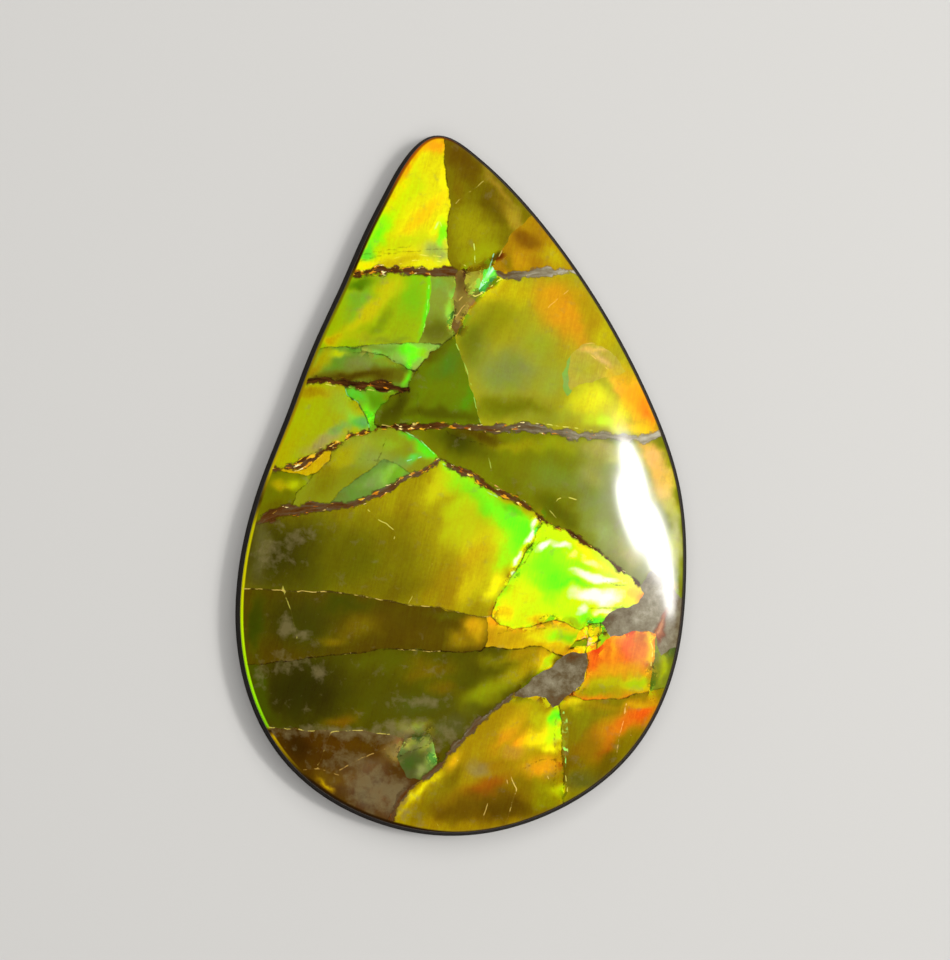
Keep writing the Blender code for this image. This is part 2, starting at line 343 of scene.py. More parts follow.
SHARDS = {
    "tip_left": dict(seed=(425, 200), colour=("yellow", 0.86, 0), flashes=[
        (430, 139, 14, 7, 0, "amber", 0.95, 0),
        (412, 160, 20, 4, 52, "amber", 0.92, 0),
        (397, 188, 16, 4, 60, "gold", 0.88, 0),
        (414, 184, 16, 8, 60, "olive", 0.84, 0),
        (442, 176, 24, 4, 90, "yellow", 0.98, 0),
        (425, 216, 26, 6, 45, "gold", 0.95, 0),
        (400, 207, 20, 7, 58, "olive", 0.88, 0),
        (381, 236, 18, 6, 62, "green", 0.95, 0),
        (368, 250, 8, 4, 60, "emerald", 0.85, 0.1),
        (439, 229, 8, 3, 60, "lime", 1.3, 0),
        (444, 238, 12, 3, 80, "green", 0.95, 0),
        (405, 245, 30, 7, 8, "olive", 0.82, 0),
        (384, 222, 16, 9, 60, "leaf", 0.92, 0),
        (438, 251, 10, 6, 0, "lime", 0.68, 0.5),
        (395, 262, 30, 4, 8, "old_gold", 0.75, 0),
        (364, 263, 11, 5, 30, "yellow", 0.93, 0),
        (353, 271, 4, 3, 30, "flame", 0.85, 0),
    ]),
    "tip_right": dict(seed=(480, 200), colour=("old_gold", 0.43, 0), flashes=[
        (462, 160, 24, 10, -50, "honey", 0.36, 0),
        (497, 205, 18, 12, -45, "gold", 0.33, 0),
        (516, 218, 24, 7, -48, "gold", 0.62, 0.1),
        (470, 228, 20, 18, 0, "yellow", 0.57, 0),
        (482, 252, 18, 10, 0, "olive", 0.6, 0),
        (458, 190, 14, 5, 90, "gold", 0.44, 0),
        (501, 186, 24, 4, -53, "gold", 0.58, 0.1),
    ]),
    "amber": dict(seed=(525, 250), colour=("honey", 0.62, 0), flashes=[
        (528, 237, 12, 6, -30, "amber", 0.46, 0),
        (520, 258, 14, 6, 30, "honey", 0.72, 0),
        (552, 253, 16, 8, -50, "old_gold", 0.7, 0),
        (508, 262, 8, 8, 0, "gold", 0.52, 0),
    ]),
    "olive_flake": dict(seed=(474, 282), colour=("olive", 0.62, 0.25), flashes=[]),
    "mint_flake": dict(seed=(487, 277), colour=("green", 0.93, 0.15), flashes=[
        (491, 268, 10, 3, 62, "mint", 1.4, 0),
    ]),
    "lime": dict(seed=(385, 300), colour=("lime", 0.68, 0), flashes=[
        (356, 299, 18, 9, 60, "leaf", 0.66, 0.1),
        (356, 281, 12, 4, 10, "leaf", 0.45, 0),
        (366, 309, 34, 8, 50, "yellow", 0.75, 0),
        (396, 287, 12, 7, 0, "yellow", 0.76, 0),
        (379, 323, 16, 4.5, 66, "lime", 0.56, 0),
        (408, 300, 26, 12, 85, "leaf", 0.7, 0),
        (405, 328, 14, 12, 80, "lime", 0.66, 0),
        (426, 308, 30, 3.5, 86, "green", 0.86, 0),
        (352, 339, 26, 4, 0, "olive", 0.7, 0),
        (333, 338, 9, 4, 0, "gold", 0.74, 0),
        (392, 340, 20, 3, 0, "lime", 0.58, 0.1),
    ]),
    "lime_shade": dict(seed=(440, 300), colour=("lime", 0.58, 0.25), flashes=[
        (440, 287, 9, 7, 0, "leaf", 0.64, 0.3),
        (436, 328, 14, 12, 0, "olive", 0.38, 0.1),
        (450, 314, 16, 2.5, 90, "leaf", 0.82, 0.2),
    ]),
    "mint_wedge": dict(seed=(390, 350), colour=("leaf", 0.7, 0.4), flashes=[
        (366, 349, 14, 4, 0, "lime", 0.54, 0.25),
        (384, 352, 12, 5, 10, "leaf", 0.6, 0.3),
        (401, 350, 11, 6, 20, "green", 0.86, 0),
        (414, 357, 13, 9, 40, "green", 0.96, 0),
        (412, 348, 7, 3, 8, "green", 1.0, 0),
        (424, 352, 5, 6, 50, "leaf", 0.8, 0),
        (408, 366, 6, 4, 40, "green", 0.92, 0),
    ]),
    "grey_olive": dict(seed=(350, 365), colour=("leaf", 0.53, 0.2), flashes=[
        (322, 356, 15, 8, 55, "yellow", 0.63, 0),
        (340, 351, 10, 3, 0, "olive", 0.76, 0),
        (363, 364, 16, 8, 0, "lime", 0.52, 0.45),
        (390, 364, 14, 4, -12, "lime", 0.6, 0.1),
        (360, 376, 46, 6, 0, "gold", 0.28, 0),
        (312, 371, 10, 5, 60, "gold", 0.6, 0),
        (408, 378, 10, 3.5, 75, "green", 0.85, 0),
    ]),
    "left_olive": dict(seed=(310, 415), colour=("olive", 0.65, 0), flashes=[
        (312, 394, 20, 5, 0, "gold", 0.6, 0),
        (300, 420, 18, 14, 60, "olive", 0.67, 0),
        (285, 452, 20, 7, 60, "yellow", 0.65, 0),
        (340, 405, 14, 8, -60, "lime", 0.68, 0.1),
        (355, 418, 10, 6, -60, "leaf", 0.78, 0.15),
        (363, 421, 9, 5, 0, "emerald", 0.68, 0.4),
        (325, 442, 18, 6, 25, "old_gold", 0.62, 0.7),
        (342, 431, 12, 4, 30, "leaf", 0.64, 0.5),
    ]),
    "green_sliver": dict(seed=(374, 412), colour=("leaf", 0.6, 0.05), flashes=[
        (369, 416, 8, 5, -80, "green", 0.92, 0),
        (356, 398, 9, 4, -40, "green", 0.74, 0.1),
        (388, 397, 9, 4, 20, "lime", 0.5, 0),
        (377, 401, 6, 6, 0, "leaf", 0.52, 0),
    ]),
    "bottle_green": dict(seed=(430, 385), colour=("lime", 0.43, 0), flashes=[
        (446, 362, 14, 9, 70, "leaf", 0.45, 0.1),
        (440, 390, 26, 10, 0, "lime", 0.45, 0),
        (466, 400, 16, 5, 75, "leaf", 0.5, 0),
        (396, 405, 26, 9, 50, "olive", 0.26, 0),
        (428, 354, 20, 5, 35, "olive", 0.34, 0),
        (440, 415, 40, 6, 0, "olive", 0.31, 0),
        (418, 372, 8, 10, 60, "lime", 0.42, 0),
    ]),
    "upper_right": dict(seed=(520, 330), colour=("yellow", 0.59, 0.05), flashes=[
        (500, 291, 24, 6, 20, "old_gold", 0.74, 0),
        (497, 283, 10, 5, 30, "yellow", 0.9, 0),
        (519, 294, 18, 12, 0, "old_gold", 0.7, 0),
        (552, 290, 16, 12, 0, "honey", 0.78, 0),
        (576, 294, 12, 14, -60, "gold", 0.73, 0),
        (567, 314, 34, 20, -62, "amber", 0.8, 0),
        (592, 318, 30, 9, -60, "gold", 0.65, 0),
        (607, 334, 14, 8, -60, "old_gold", 0.69, 0),
        (497, 315, 20, 12, 10, "yellow", 0.53, 0),
        (472, 342, 24, 14, 70, "olive", 0.43, 0.05),
        (505, 372, 26, 22, 0, "lime", 0.55, 0.5),
        (535, 345, 14, 14, 0, "olive", 0.6, 0.15),
        (545, 380, 16, 14, 0, "olive", 0.6, 0.2),
        (510, 408, 34, 8, 0, "olive", 0.42, 0),
        (545, 416, 30, 7, 0, "olive", 0.56, 0.15),
        (592, 402, 22, 14, 10, "yellow", 0.86, 0),
        (602, 422, 14, 7, 0, "lime", 0.9, 0),
        (624, 384, 16, 6, -30, "honey", 0.92, 0.15),
        (638, 401, 30, 13, -62, "amber", 0.98, 0),
        (620, 412, 12, 10, 60, "yellow", 0.91, 0),
        (650, 412, 18, 6, -62, "orange", 0.96, 0),
        (640, 427, 18, 4, -10, "gold", 0.94, 0),
    ]),
    "chip": dict(seed=(592, 365), colour=("old_gold", 0.68, 0.2), flashes=[
        (580, 372, 10, 11, 90, "yellow", 0.64, 0.2),
        (600, 358, 20, 3, -42, "honey", 0.86, 0.55),
        (592, 346, 18, 3, 0, "honey", 0.86, 0.3),
        (612, 374, 12, 5, 0, "gold", 0.8, 0.1),
    ]),
    "crescent": dict(seed=(565.5, 378), colour=("leaf", 0.66, 0.4), flashes=[]),
    "lower_right_olive": dict(seed=(540, 470), colour=("olive", 0.45, 0), flashes=[
        (515, 444, 30, 6, 0, "yellow", 0.53, 0),
        (560, 446, 26, 7, 0, "olive", 0.56, 0),
        (460, 443, 24, 12, -15, "olive", 0.24, 0),
        (482, 436, 20, 6, 0, "gold", 0.3, 0),
        (505, 478, 22, 8, -35, "olive", 0.42, 0),
        (556, 478, 22, 14, 0, "lime", 0.5, 0.2),
        (594, 472, 16, 14, 80, "olive", 0.6, 0.5),
        (556, 513, 20, 8, -35, "olive", 0.35, 0),
        # From here the flashes round the white leaf are pale and bright partly as painted glare from the
        # lamp's reflection
        (590, 500, 20, 12, -40, "lime", 0.53, 0.45),
        (602, 530, 24, 12, -45, "lime", 0.6, 0.5),
        (606, 450, 20, 8, 0, "yellow", 0.66, 0.5),
        (630, 556, 14, 8, -50, "yellow", 0.6, 0.5),
        (654, 460, 26, 10, -75, "amber", 0.97, 0.35),
        (668, 490, 16, 8, -80, "honey", 0.93, 0.35),
        (673, 508, 10, 6, -80, "yellow", 0.76, 0.4),
        (677, 540, 28, 6, -85, "olive", 0.76, 0.8),
    ]),
    "gold_strip": dict(seed=(303, 471), colour=("gold", 0.76, 0), flashes=[]),
    "lens_left": dict(seed=(285, 492), colour=("olive", 0.43, 0), flashes=[
        (291, 481, 8, 5, 0, "olive", 0.74, 0),
        (278, 483, 6, 6, 0, "old_gold", 0.66, 0),
        (280, 504, 16, 4, 15, "yellow", 0.38, 0),
        (305, 484, 8, 5, 45, "olive", 0.58, 0),
    ]),
    "lens": dict(seed=(345, 465), colour=("olive", 0.53, 0.05), flashes=[
        (330, 468, 14, 10, 30, "old_gold", 0.5, 0),
        (360, 450, 16, 8, 20, "olive", 0.62, 0.15),
        (387, 441, 14, 9, 0, "lime", 0.62, 0.1),
        (417, 442, 16, 4, -34, "emerald", 0.86, 0),
        (428, 455, 12, 5, -38, "green", 0.85, 0),
        (413, 460, 9, 3, 10, "emerald", 0.85, 0.2),
        (392, 466, 16, 8, 20, "leaf", 0.6, 0.5),
        (370, 460, 12, 7, 20, "lime", 0.6, 0.3),
        (325, 486, 16, 8, 45, "yellow", 0.46, 0),
        (345, 457, 12, 5, 20, "yellow", 0.62, 0),
    ]),
    "lens_mint": dict(seed=(358, 488), colour=("leaf", 0.52, 0.35), flashes=[
        (383, 474, 14, 6, 30, "leaf", 0.74, 0.25),
        (368, 483, 12, 5, 35, "leaf", 0.6, 0.5),
        (400, 474, 14, 4, 28, "leaf", 0.64, 0.1),
        (335, 500, 9, 4, 0, "lime", 0.45, 0.2),
    ]),
    "heart": dict(seed=(420, 540), colour=("old_gold", 0.57, 0), flashes=[
        (285, 555, 62, 44, 0, "yellow", 0.21, 0.05),
        (355, 560, 44, 34, 0, "yellow", 0.36, 0),
        (400, 555, 20, 30, 20, "old_gold", 0.43, 0),
        (262, 548, 26, 8, 80, "yellow", 0.36, 0.5),
        (390, 588, 36, 12, 0, "old_gold", 0.41, 0),
        (440, 488, 22, 10, 30, "yellow", 0.75, 0),
        (452, 471, 12, 5, -20, "leaf", 0.88, 0),
        (470, 487, 34, 11, -38, "leaf", 0.88, 0),
        (484, 508, 24, 10, -40, "green", 0.77, 0),
        (496, 540, 18, 11, 60, "lime", 0.88, 0),
        (463, 507, 16, 10, 30, "lime", 0.8, 0),
        (508, 518, 28, 11, -45, "green", 0.95, 0),
        (527, 524, 10, 8, -45, "green", 1.0, 0),
        (512, 507, 12, 4, -35, "green", 0.8, 0),
        (517, 540, 20, 10, 60, "green", 1.02, 0),
        (498, 562, 20, 9, 60, "leaf", 0.9, 0),
        (479, 540, 14, 10, 60, "lime", 0.8, 0),
        (462, 528, 22, 13, 50, "olive", 0.75, 0),
        (468, 563, 36, 12, 60, "gold", 0.74, 0),
        (448, 585, 22, 14, 60, "gold", 0.58, 0),
        (472, 588, 22, 10, 60, "old_gold", 0.76, 0),
        (495, 588, 14, 7, 60, "yellow", 0.95, 0),
        (530, 536, 11, 3, 57, "lime", 1.6, 0),
        (518, 557, 8, 3, 57, "lime", 1.55, 0),
        (518, 573, 4, 4, 60, "lime", 1.5, 0),
        (536, 523, 6, 3, 0, "lime", 1.5, 0),
        (540, 531, 5, 2.5, 40, "emerald", 0.95, 0.1),
    ]),
    "flash": dict(seed=(565, 575), colour=("lime", 0.92, 0), flashes=[
        (548, 574, 26, 20, 10, "green", 1.03, 0),
        (570, 564, 22, 9, 0, "leaf", 1.03, 0),
        (546, 549, 9, 3.5, 20, "lime", 1.7, 0),
        (566, 549, 7, 4, 0, "lime", 1.6, 0),
        (588, 553, 14, 5, -30, "yellow", 0.88, 0),
        (594, 563, 10, 4, -25, "yellow", 1.25, 0),
        (598, 578, 22, 3.5, -5, "olive", 1.65, 0),
        (563, 585, 24, 3, 0, "green", 1.0, 0),
        (600, 597, 30, 7, 0, "olive", 1.7, 0),
        (574, 560, 6, 4, 30, "yellow", 1.2, 0),
        (638, 594, 9, 12, 60, "gold", 1.0, 0),
        (644, 600, 5, 6, 60, "orange", 0.98, 0),
        (622, 574, 16, 3, -30, "yellow", 1.1, 0),
        (520, 592, 20, 14, 60, "olive", 0.9, 0),
        (503, 611, 10, 8, 60, "gold", 0.88, 0),
        (535, 605, 16, 8, 0, "lime", 0.93, 0),
        (545, 617, 16, 4, 0, "gold", 0.86, 0),
        (562, 618, 12, 5, 0, "leaf", 0.88, 0),
        (576, 620, 10, 6, 0, "lime", 0.7, 0),
        (581, 611, 8, 3, 0, "lime", 1.5, 0),
        (594, 617, 14, 4, -10, "green", 0.94, 0),
        (604, 611, 8, 3, 0, "yellow", 1.4, 0),
    ]),
    "strip": dict(seed=(520, 638), colour=("gold", 0.8, 0), flashes=[
        (495, 624, 8, 6, 0, "amber", 0.9, 0),
        (495, 638, 12, 7, 0, "honey", 0.7, 0),
        (513, 640, 10, 6, 0, "gold", 0.74, 0),
        (540, 636, 14, 6, 0, "yellow", 0.86, 0),
        (557, 634, 10, 8, 0, "leaf", 0.9, 0),
        (572, 636, 9, 8, 0, "leaf", 0.76, 0),
        (555, 646, 10, 2.5, 0, "gold", 0.88, 0),
    ]),
    "brown": dict(seed=(440, 630), colour=("gold", 0.31, 0), flashes=[
        (300, 620, 36, 26, 0, "yellow", 0.23, 0.05),
        (359, 628, 19, 10, 10, "gold", 0.4, 0),
        (331, 639, 12, 6, 0, "gold", 0.45, 0),
        (258, 625, 26, 7, 90, "lime", 0.25, 0),
        (346, 605, 24, 7, 0, "olive", 0.26, 0),
        (478, 629, 12, 12, 90, "honey", 0.8, 0),
        (457, 641, 12, 7, 0, "gold", 0.56, 0),
        (448, 617, 16, 5, 0, "yellow", 0.34, 0),
        (418, 638, 20, 8, 0, "gold", 0.33, 0),
    ]),
    "dark_left": dict(seed=(400, 690), colour=("yellow", 0.29, 0), flashes=[
        (498, 657, 22, 5, 5, "yellow", 0.42, 0),
        (526, 655, 18, 5, 10, "gold", 0.6, 0),
        (545, 657, 10, 5, 30, "honey", 0.7, 0),
        (520, 670, 24, 8, 30, "gold", 0.62, 0),
        (546, 663, 12, 6, 30, "gold", 0.84, 0),
        (488, 689, 26, 11, 25, "olive", 0.54, 0),
        (455, 676, 16, 8, 20, "olive", 0.3, 0),
        (300, 690, 40, 34, 0, "yellow", 0.17, 0.05),
        (262, 690, 36, 6, -70, "lime", 0.29, 0),
        (343, 718, 16, 6, 15, "honey", 0.44, 0),
        (426, 668, 24, 9, 0, "gold", 0.4, 0),
        (378, 662, 24, 9, 0, "olive", 0.34, 0),
        (442, 688, 12, 7, 0, "gold", 0.4, 0),
        (418, 706, 26, 10, 0, "olive", 0.31, 0.15),
        (414, 728, 18, 5, 0, "olive", 0.58, 0.3),
        (450, 728, 20, 8, 30, "olive", 0.34, 0.45),
        (550, 663, 14, 3, 36, "lime", 0.82, 0),
    ]),
    "brown_low": dict(seed=(340, 750), colour=("amber", 0.28, 0), flashes=[
        (298, 746, 18, 12, -50, "amber", 0.2, 0),
        (348, 746, 26, 7, 0, "amber", 0.31, 0),
        (338, 778, 18, 6, 0, "honey", 0.38, 0),
        (395, 750, 12, 8, 30, "honey", 0.5, 0.45),
        (368, 766, 16, 8, 0, "amber", 0.42, 0.6),
        (378, 792, 34, 18, -25, "orange", 0.36, 0.75),
        (327, 786, 6, 3, -35, "gold", 0.7, 0),
    ]),
    "green_patch": dict(seed=(418, 757), colour=("lime", 0.34, 0.5), flashes=[
        (410, 743, 8, 5, 15, "olive", 0.6, 0.3),
        (427, 746, 7, 6, 15, "lime", 0.58, 0.4),
        (431, 758, 10, 4, 75, "green", 0.7, 0.3),
        (410, 763, 8, 5, 20, "leaf", 0.34, 0.35),
        (421, 771, 8, 4, 40, "lime", 0.6, 0.6),
    ]),
    "foot": dict(seed=(500, 760), colour=("gold", 0.6, 0), flashes=[
        (523, 703, 18, 6, -10, "yellow", 0.6, 0),
        (540, 716, 16, 8, 0, "yellow", 0.68, 0),
        (508, 728, 20, 9, 45, "gold", 0.75, 0),
        (503, 738, 16, 7, 45, "amber", 0.8, 0),
        (521, 745, 12, 8, 60, "amber", 0.95, 0),
        (538, 737, 14, 8, 50, "old_gold", 1.0, 0),
        (553, 730, 18, 6, 75, "lime", 0.96, 0),
        (556, 712, 9, 4, 60, "green", 0.95, 0),
        (553, 749, 9, 5, 0, "yellow", 0.94, 0),
        (545, 768, 18, 8, 10, "amber", 0.86, 0),
        (515, 755, 10, 5, 0, "honey", 0.7, 0.1),
        (450, 764, 10, 6, 60, "honey", 0.9, 0),
        (480, 748, 14, 8, 30, "gold", 0.62, 0),
        (420, 815, 14, 8, 40, "gold", 0.5, 0),
        (418, 792, 22, 3.5, 47, "yellow", 0.95, 0),
        (438, 794, 22, 10, 40, "old_gold", 0.55, 0),
        (450, 779, 14, 9, 40, "gold", 0.45, 0),
        (481, 769, 10, 6, 0, "gold", 0.57, 0.5),
        (486, 790, 24, 8, 15, "orange", 0.56, 0),
        (505, 796, 14, 9, 0, "honey", 0.46, 0),
        (497, 766, 13, 8, 0, "honey", 0.58, 0),
        (530, 789, 18, 8, 0, "gold", 0.49, 0),
        (548, 792, 12, 10, 0, "yellow", 0.54, 0),
        (559, 796, 5, 8, 80, "olive", 0.76, 0),
        (500, 808, 46, 12, -5, "honey", 0.33, 0),
        (460, 814, 28, 9, -8, "honey", 0.38, 0),
        (545, 806, 12, 8, 0, "yellow", 0.5, 0),
    ]),
    "lower_right": dict(seed=(590, 730), colour=("old_gold", 0.48, 0), flashes=[
        (580, 712, 18, 9, 90, "yellow", 0.49, 0),
        (606, 706, 18, 5, 0, "gold", 0.57, 0),
        (598, 735, 12, 8, 40, "amber", 0.58, 0),
        (614, 733, 26, 10, 40, "amber", 0.72, 0),
        (604, 752, 16, 7, 35, "orange", 0.56, 0),
        (622, 732, 14, 7, 40, "orange", 0.76, 0),
        (643, 714, 18, 13, 55, "flame", 0.85, 0),
        (640, 702, 12, 4, 10, "honey", 0.78, 0),
        (584, 748, 14, 9, 40, "honey", 0.52, 0),
        (605, 766, 22, 9, 35, "gold", 0.38, 0),
        (584, 782, 16, 8, 20, "yellow", 0.35, 0.2),
        (573, 764, 10, 8, 90, "gold", 0.43, 0),
        (577, 701, 10, 5, 0, "old_gold", 0.84, 0),
    ]),
    "ember": dict(seed=(615, 655), colour=("orange", 0.83, 0), flashes=[
        (598, 655, 16, 5, 80, "flame", 0.85, 0),
        (617, 648, 14, 3, 85, "amber", 0.92, 0),
        (632, 648, 16, 4, 85, "flame", 0.87, 0),
        (644, 640, 7, 8, 0, "orange", 0.72, 0),
        (622, 670, 34, 5, 3, "amber", 0.84, 0),
        (610, 684, 30, 7, 3, "yellow", 0.67, 0),
        (636, 682, 10, 6, 0, "lime", 0.74, 0),
        (651, 652, 18, 3.5, 80, "gold", 0.92, 0),
        (600, 691, 20, 5, 0, "yellow", 0.56, 0),
    ]),
    "ember_side": dict(seed=(662, 674), colour=("olive", 0.46, 0.1), flashes=[
        (661, 668, 12, 4, 90, "olive", 0.66, 0),
        (672, 650, 10, 5, 80, "lime", 0.3, 0.3),
    ]),
    "rubble_gold": dict(seed=(584, 636), colour=("gold", 0.9, 0), flashes=[]),
    "rubble_leaf": dict(seed=(594, 630), colour=("lime", 0.8, 0), flashes=[]),
    "rubble_green": dict(seed=(604, 632), colour=("leaf", 0.8, 0), flashes=[]),
    "rubble_dark": dict(seed=(581, 644), colour=("olive", 0.5, 0), flashes=[]),
    "rubble_bright": dict(seed=(593, 641), colour=("yellow", 0.95, 0), flashes=[]),
    "rubble_amber": dict(seed=(574, 651), colour=("gold", 0.92, 0), flashes=[]),
    "rubble_low": dict(seed=(592, 647), colour=("gold", 0.82, 0), flashes=[]),
    "rubble_end": dict(seed=(603, 638), colour=("lime", 0.7, 0), flashes=[]),
    "notch": dict(seed=(461, 296), colour=("gold", 0.5, 0.3), flashes=[
        (459, 282, 10, 5, 90, "honey", 0.36, 0.3),
        (470, 300, 10, 4, 50, "old_gold", 0.56, 0.4),
    ]),
    "wedge": dict(seed=(563, 680), colour=("rock", 0.58, 0), flashes=[
        (556, 697, 10, 7, 0, "rock", 0.36, 0),
        (578, 657, 8, 5, 0, "rock", 0.4, 0),
        (537, 689, 16, 5, 20, "rock", 0.72, 0),
    ]),
    "rock": dict(seed=(628, 622), colour=("rock", 0.63, 0), flashes=[
        (608, 621, 10, 7, 30, "rock", 0.4, 0),
        (640, 597, 10, 5, 30, "rock", 0.55, 0),
        (641, 622, 16, 6, 10, "rock", 0.76, 0),
        # These two, at the foot of the white leaf, are brightened partly as painted glare from the lamp's
        # reflection
        (656, 600, 12, 14, 70, "rock", 0.85, 0),
        (664, 627, 13, 2.5, 75, "orange", 0.75, 0.5),
    ]),
}

# Hairlines: cracks and scratches thinner than a vein. Dark ones are open, light ones catch light.
# Each is a strength, a hue for a light one, and a route.

DARK_LINES = [
    (0.8, FRACTURES["tip"]),
    (0.5, [(361, 254), (380, 250), (395, 248), (412, 245)]),
    (0.7, FRACTURES["lime_foot"]),
    (0.8, FRACTURES["wedge_foot"]),
    (0.8, FRACTURES["emerald"]),
    (0.9, FRACTURES["bottle_left"]),
    (0.6, [(386, 438), (383, 446), (380, 455), (375, 463)]),
    (0.4, [(359, 459), (375, 460), (394, 462)]),
    (0.8, FRACTURES["lens_split"]),
    (0.6, FRACTURES["gold_strip"]),
    (0.45, FRACTURES["lens_lower"]),
    (0.9, FRACTURES["flash_left"]),
    (0.7, [(546, 538), (538, 543), (531, 552), (526, 561), (519, 567)]),
    (0.9, FRACTURES["strip_top"]),
    (0.8, [(538, 620), (546, 615), (553, 615), (560, 620)]),
    (0.9, FRACTURES["ledge"]),
    (0.8, FRACTURES["ember_foot"]),
    (0.8, FRACTURES["upright"]),
    (0.6, [(523, 769), (536, 762), (544, 759), (562, 759)]),
    (0.9, FRACTURES["rubble_a"]),
    (0.9, FRACTURES["rubble_b"]),
    (0.9, FRACTURES["rubble_c"]),
    (0.9, FRACTURES["rubble_d"]),
    (0.9, FRACTURES["ember_left"]),
    (0.7, [(397, 757), (414, 750), (431, 743)]),
    (0.7, [(602, 578), (612, 584), (627, 586)]),
    (0.6, [(586, 609), (604, 608), (622, 608)]),
    (0.6, FRACTURES["dotted"]),
    (0.5, [(352, 262), (372, 257), (396, 252), (420, 250), (446, 248)]),
    (0.5, [(497, 634), (515, 629), (535, 630), (548, 628)]),
    (0.5, [(557, 716), (555, 738), (556, 764), (554, 790)]),
    (0.5, [(352, 352), (372, 352), (384, 355)]),
    (0.5, [(444, 430), (462, 440), (486, 446)]),
    (0.4, [(400, 396), (402, 410), (408, 421)]),
    (0.4, [(418, 392), (417, 406), (421, 420)]),
]
LIGHT_LINES = [
    (0.35, "old_gold", [(484, 179), (470, 190), (456, 202)]),
    (0.8, "lime", [(440, 221), (444, 231), (447, 243)]),
    (0.6, "yellow", [(372, 262), (395, 257), (420, 254), (441, 256)]),
    (0.6, "yellow", [(400, 263), (425, 259), (446, 262)]),
    (0.9, "lime", [(474, 243), (475, 253), (475, 264)]),
    (0.9, "mint", [(494, 253), (491, 263), (487, 274)]),
    (0.7, "yellow", [(457, 256), (460, 262), (467, 266)]),
    (0.8, "gold", [(344, 274), (360, 270), (378, 268), (398, 267)]),
    (0.7, "yellow", [(402, 269), (420, 268), (438, 269)]),
    (0.8, "lime", [(452, 298), (454, 312), (451, 327)]),
    (0.6, "gold", [(459, 300), (466, 294), (474, 292)]),
    (0.5, "honey", [(456, 318), (461, 309), (468, 301)]),
    (0.6, "gold", [(511, 233), (503, 247), (499, 256)]),
    (0.9, "yellow", [(481, 292), (490, 287), (499, 279), (504, 277)]),
    (0.9, "yellow", [(468, 293), (475, 296), (482, 293)]),
    (0.7, "leaf", [(429, 285), (428, 300), (426, 318), (423, 332)]),
    (0.6, "yellow", [(306, 384), (324, 383), (340, 387), (362, 389), (384, 392), (402, 389)]),
    (0.5, "leaf", FRACTURES["bottle_right"][1:]),
    (0.8, "emerald", FRACTURES["emerald"]),
    (0.7, "gold", [(382, 425), (392, 427), (402, 428)]),
    (0.5, "honey", [(572, 286), (561, 295), (550, 305), (540, 317), (529, 330)]),
    (0.7, "yellow", [(543, 423), (560, 426), (577, 428), (593, 430)]),
    (0.6, "honey", [(585, 346), (593, 355), (602, 363), (616, 373)]),
    (0.5, "honey", [(613, 352), (604, 346), (593, 342), (584, 343)]),
    (0.7, "yellow", [(554, 503), (558, 499), (563, 497), (571, 498), (577, 500)]),
    (0.4, "yellow", [(546, 506), (551, 512), (556, 518)]),
    (0.4, "lime", [(488, 455), (490, 464), (492, 474)]),
    (0.9, "emerald", [(404, 431), (415, 437), (426, 446), (434, 454)]),
    (0.8, "mint", [(407, 461), (414, 459), (421, 457)]),
    (0.9, "mint", [(443, 464), (452, 470), (462, 476)]),
    (0.6, "mint", [(484, 490), (497, 497)]),
    (0.7, "orange", [(491, 483), (505, 492)]),
    (0.5, "yellow", [(368, 510), (376, 518), (387, 524), (396, 532), (394, 539)]),
    (0.3, "yellow", [(432, 564), (420, 584), (408, 604)]),
    (0.7, "gold", FRACTURES["dotted"]),
    (0.4, "yellow", [(283, 586), (288, 602), (293, 619), (297, 638)]),
    (0.8, "gold", [(311, 655), (316, 659)]),
    (0.5, "gold", [(345, 654), (351, 653)]),
    (0.6, "gold", [(398, 649), (412, 650), (426, 651), (440, 651)]),
    (0.6, "old_gold", FRACTURES["healed"]),
    (0.35, "gold", [(331, 732), (325, 748), (318, 765)]),
    (0.4, "honey", [(304, 770), (320, 769), (339, 775)]),
    (0.4, "honey", [(340, 770), (358, 760), (375, 753), (385, 749)]),
    (1.0, "green", [(564, 712), (566, 730), (565, 750), (566, 768)]),
    (0.9, "leaf", [(567, 716), (569, 733), (568, 752)]),
    (0.8, "lime", [(561, 714), (563, 735), (563, 756)]),
    (0.6, "yellow", [(566, 776), (568, 792)]),
    (0.6, "honey", [(627, 704), (622, 730), (618, 756)]),
    (0.7, "amber", [(627, 704), (630, 720), (632, 736)]),
    (0.8, "yellow", [(651, 636), (654, 650), (652, 666)]),
    (0.8, "yellow", [(586, 646), (594, 645), (601, 641)]),
    (0.5, "gold", [(506, 776), (508, 784)]),
    (0.8, "gold", [(510, 774), (517, 789), (512, 806), (506, 824)]),
    (0.5, "gold", [(488, 804), (484, 816), (485, 826)]),
    (0.6, "gold", [(545, 770), (549, 779)]),
    (0.5, "yellow", [(436, 822), (440, 830)]),
    (0.6, "yellow", [(455, 768), (458, 760)]),
]

# How ragged the lines are, as a share of each step's length
CRACK_ROUGHNESS = 0.11
VEIN_ROUGHNESS = 0.05
HAIR_ROUGHNESS = 0.05

VEIN_FULLNESS = 0.8  # the filling's half width as a share of the stated one, before it frays
FAR_MM = 1.0  # distances past this are all alike

# Random values come from a lattice that repeats after this many blotches, entered at this one
LATTICE_CELLS = 127
LATTICE_START = 40

# How the flashes' borders wander: blotch size and push in pixels, and seed
FLASH_WARPS = ((26, 5.0, 11), (11, 3.0, 21), (5, 1.8, 31))

SPOT_FIRMNESS = 1.3  # above 1, a flash holds its colour further out and then ends more firmly
GLOW_CURVE = 2.2  # turns glow, as the eye judges it, into light

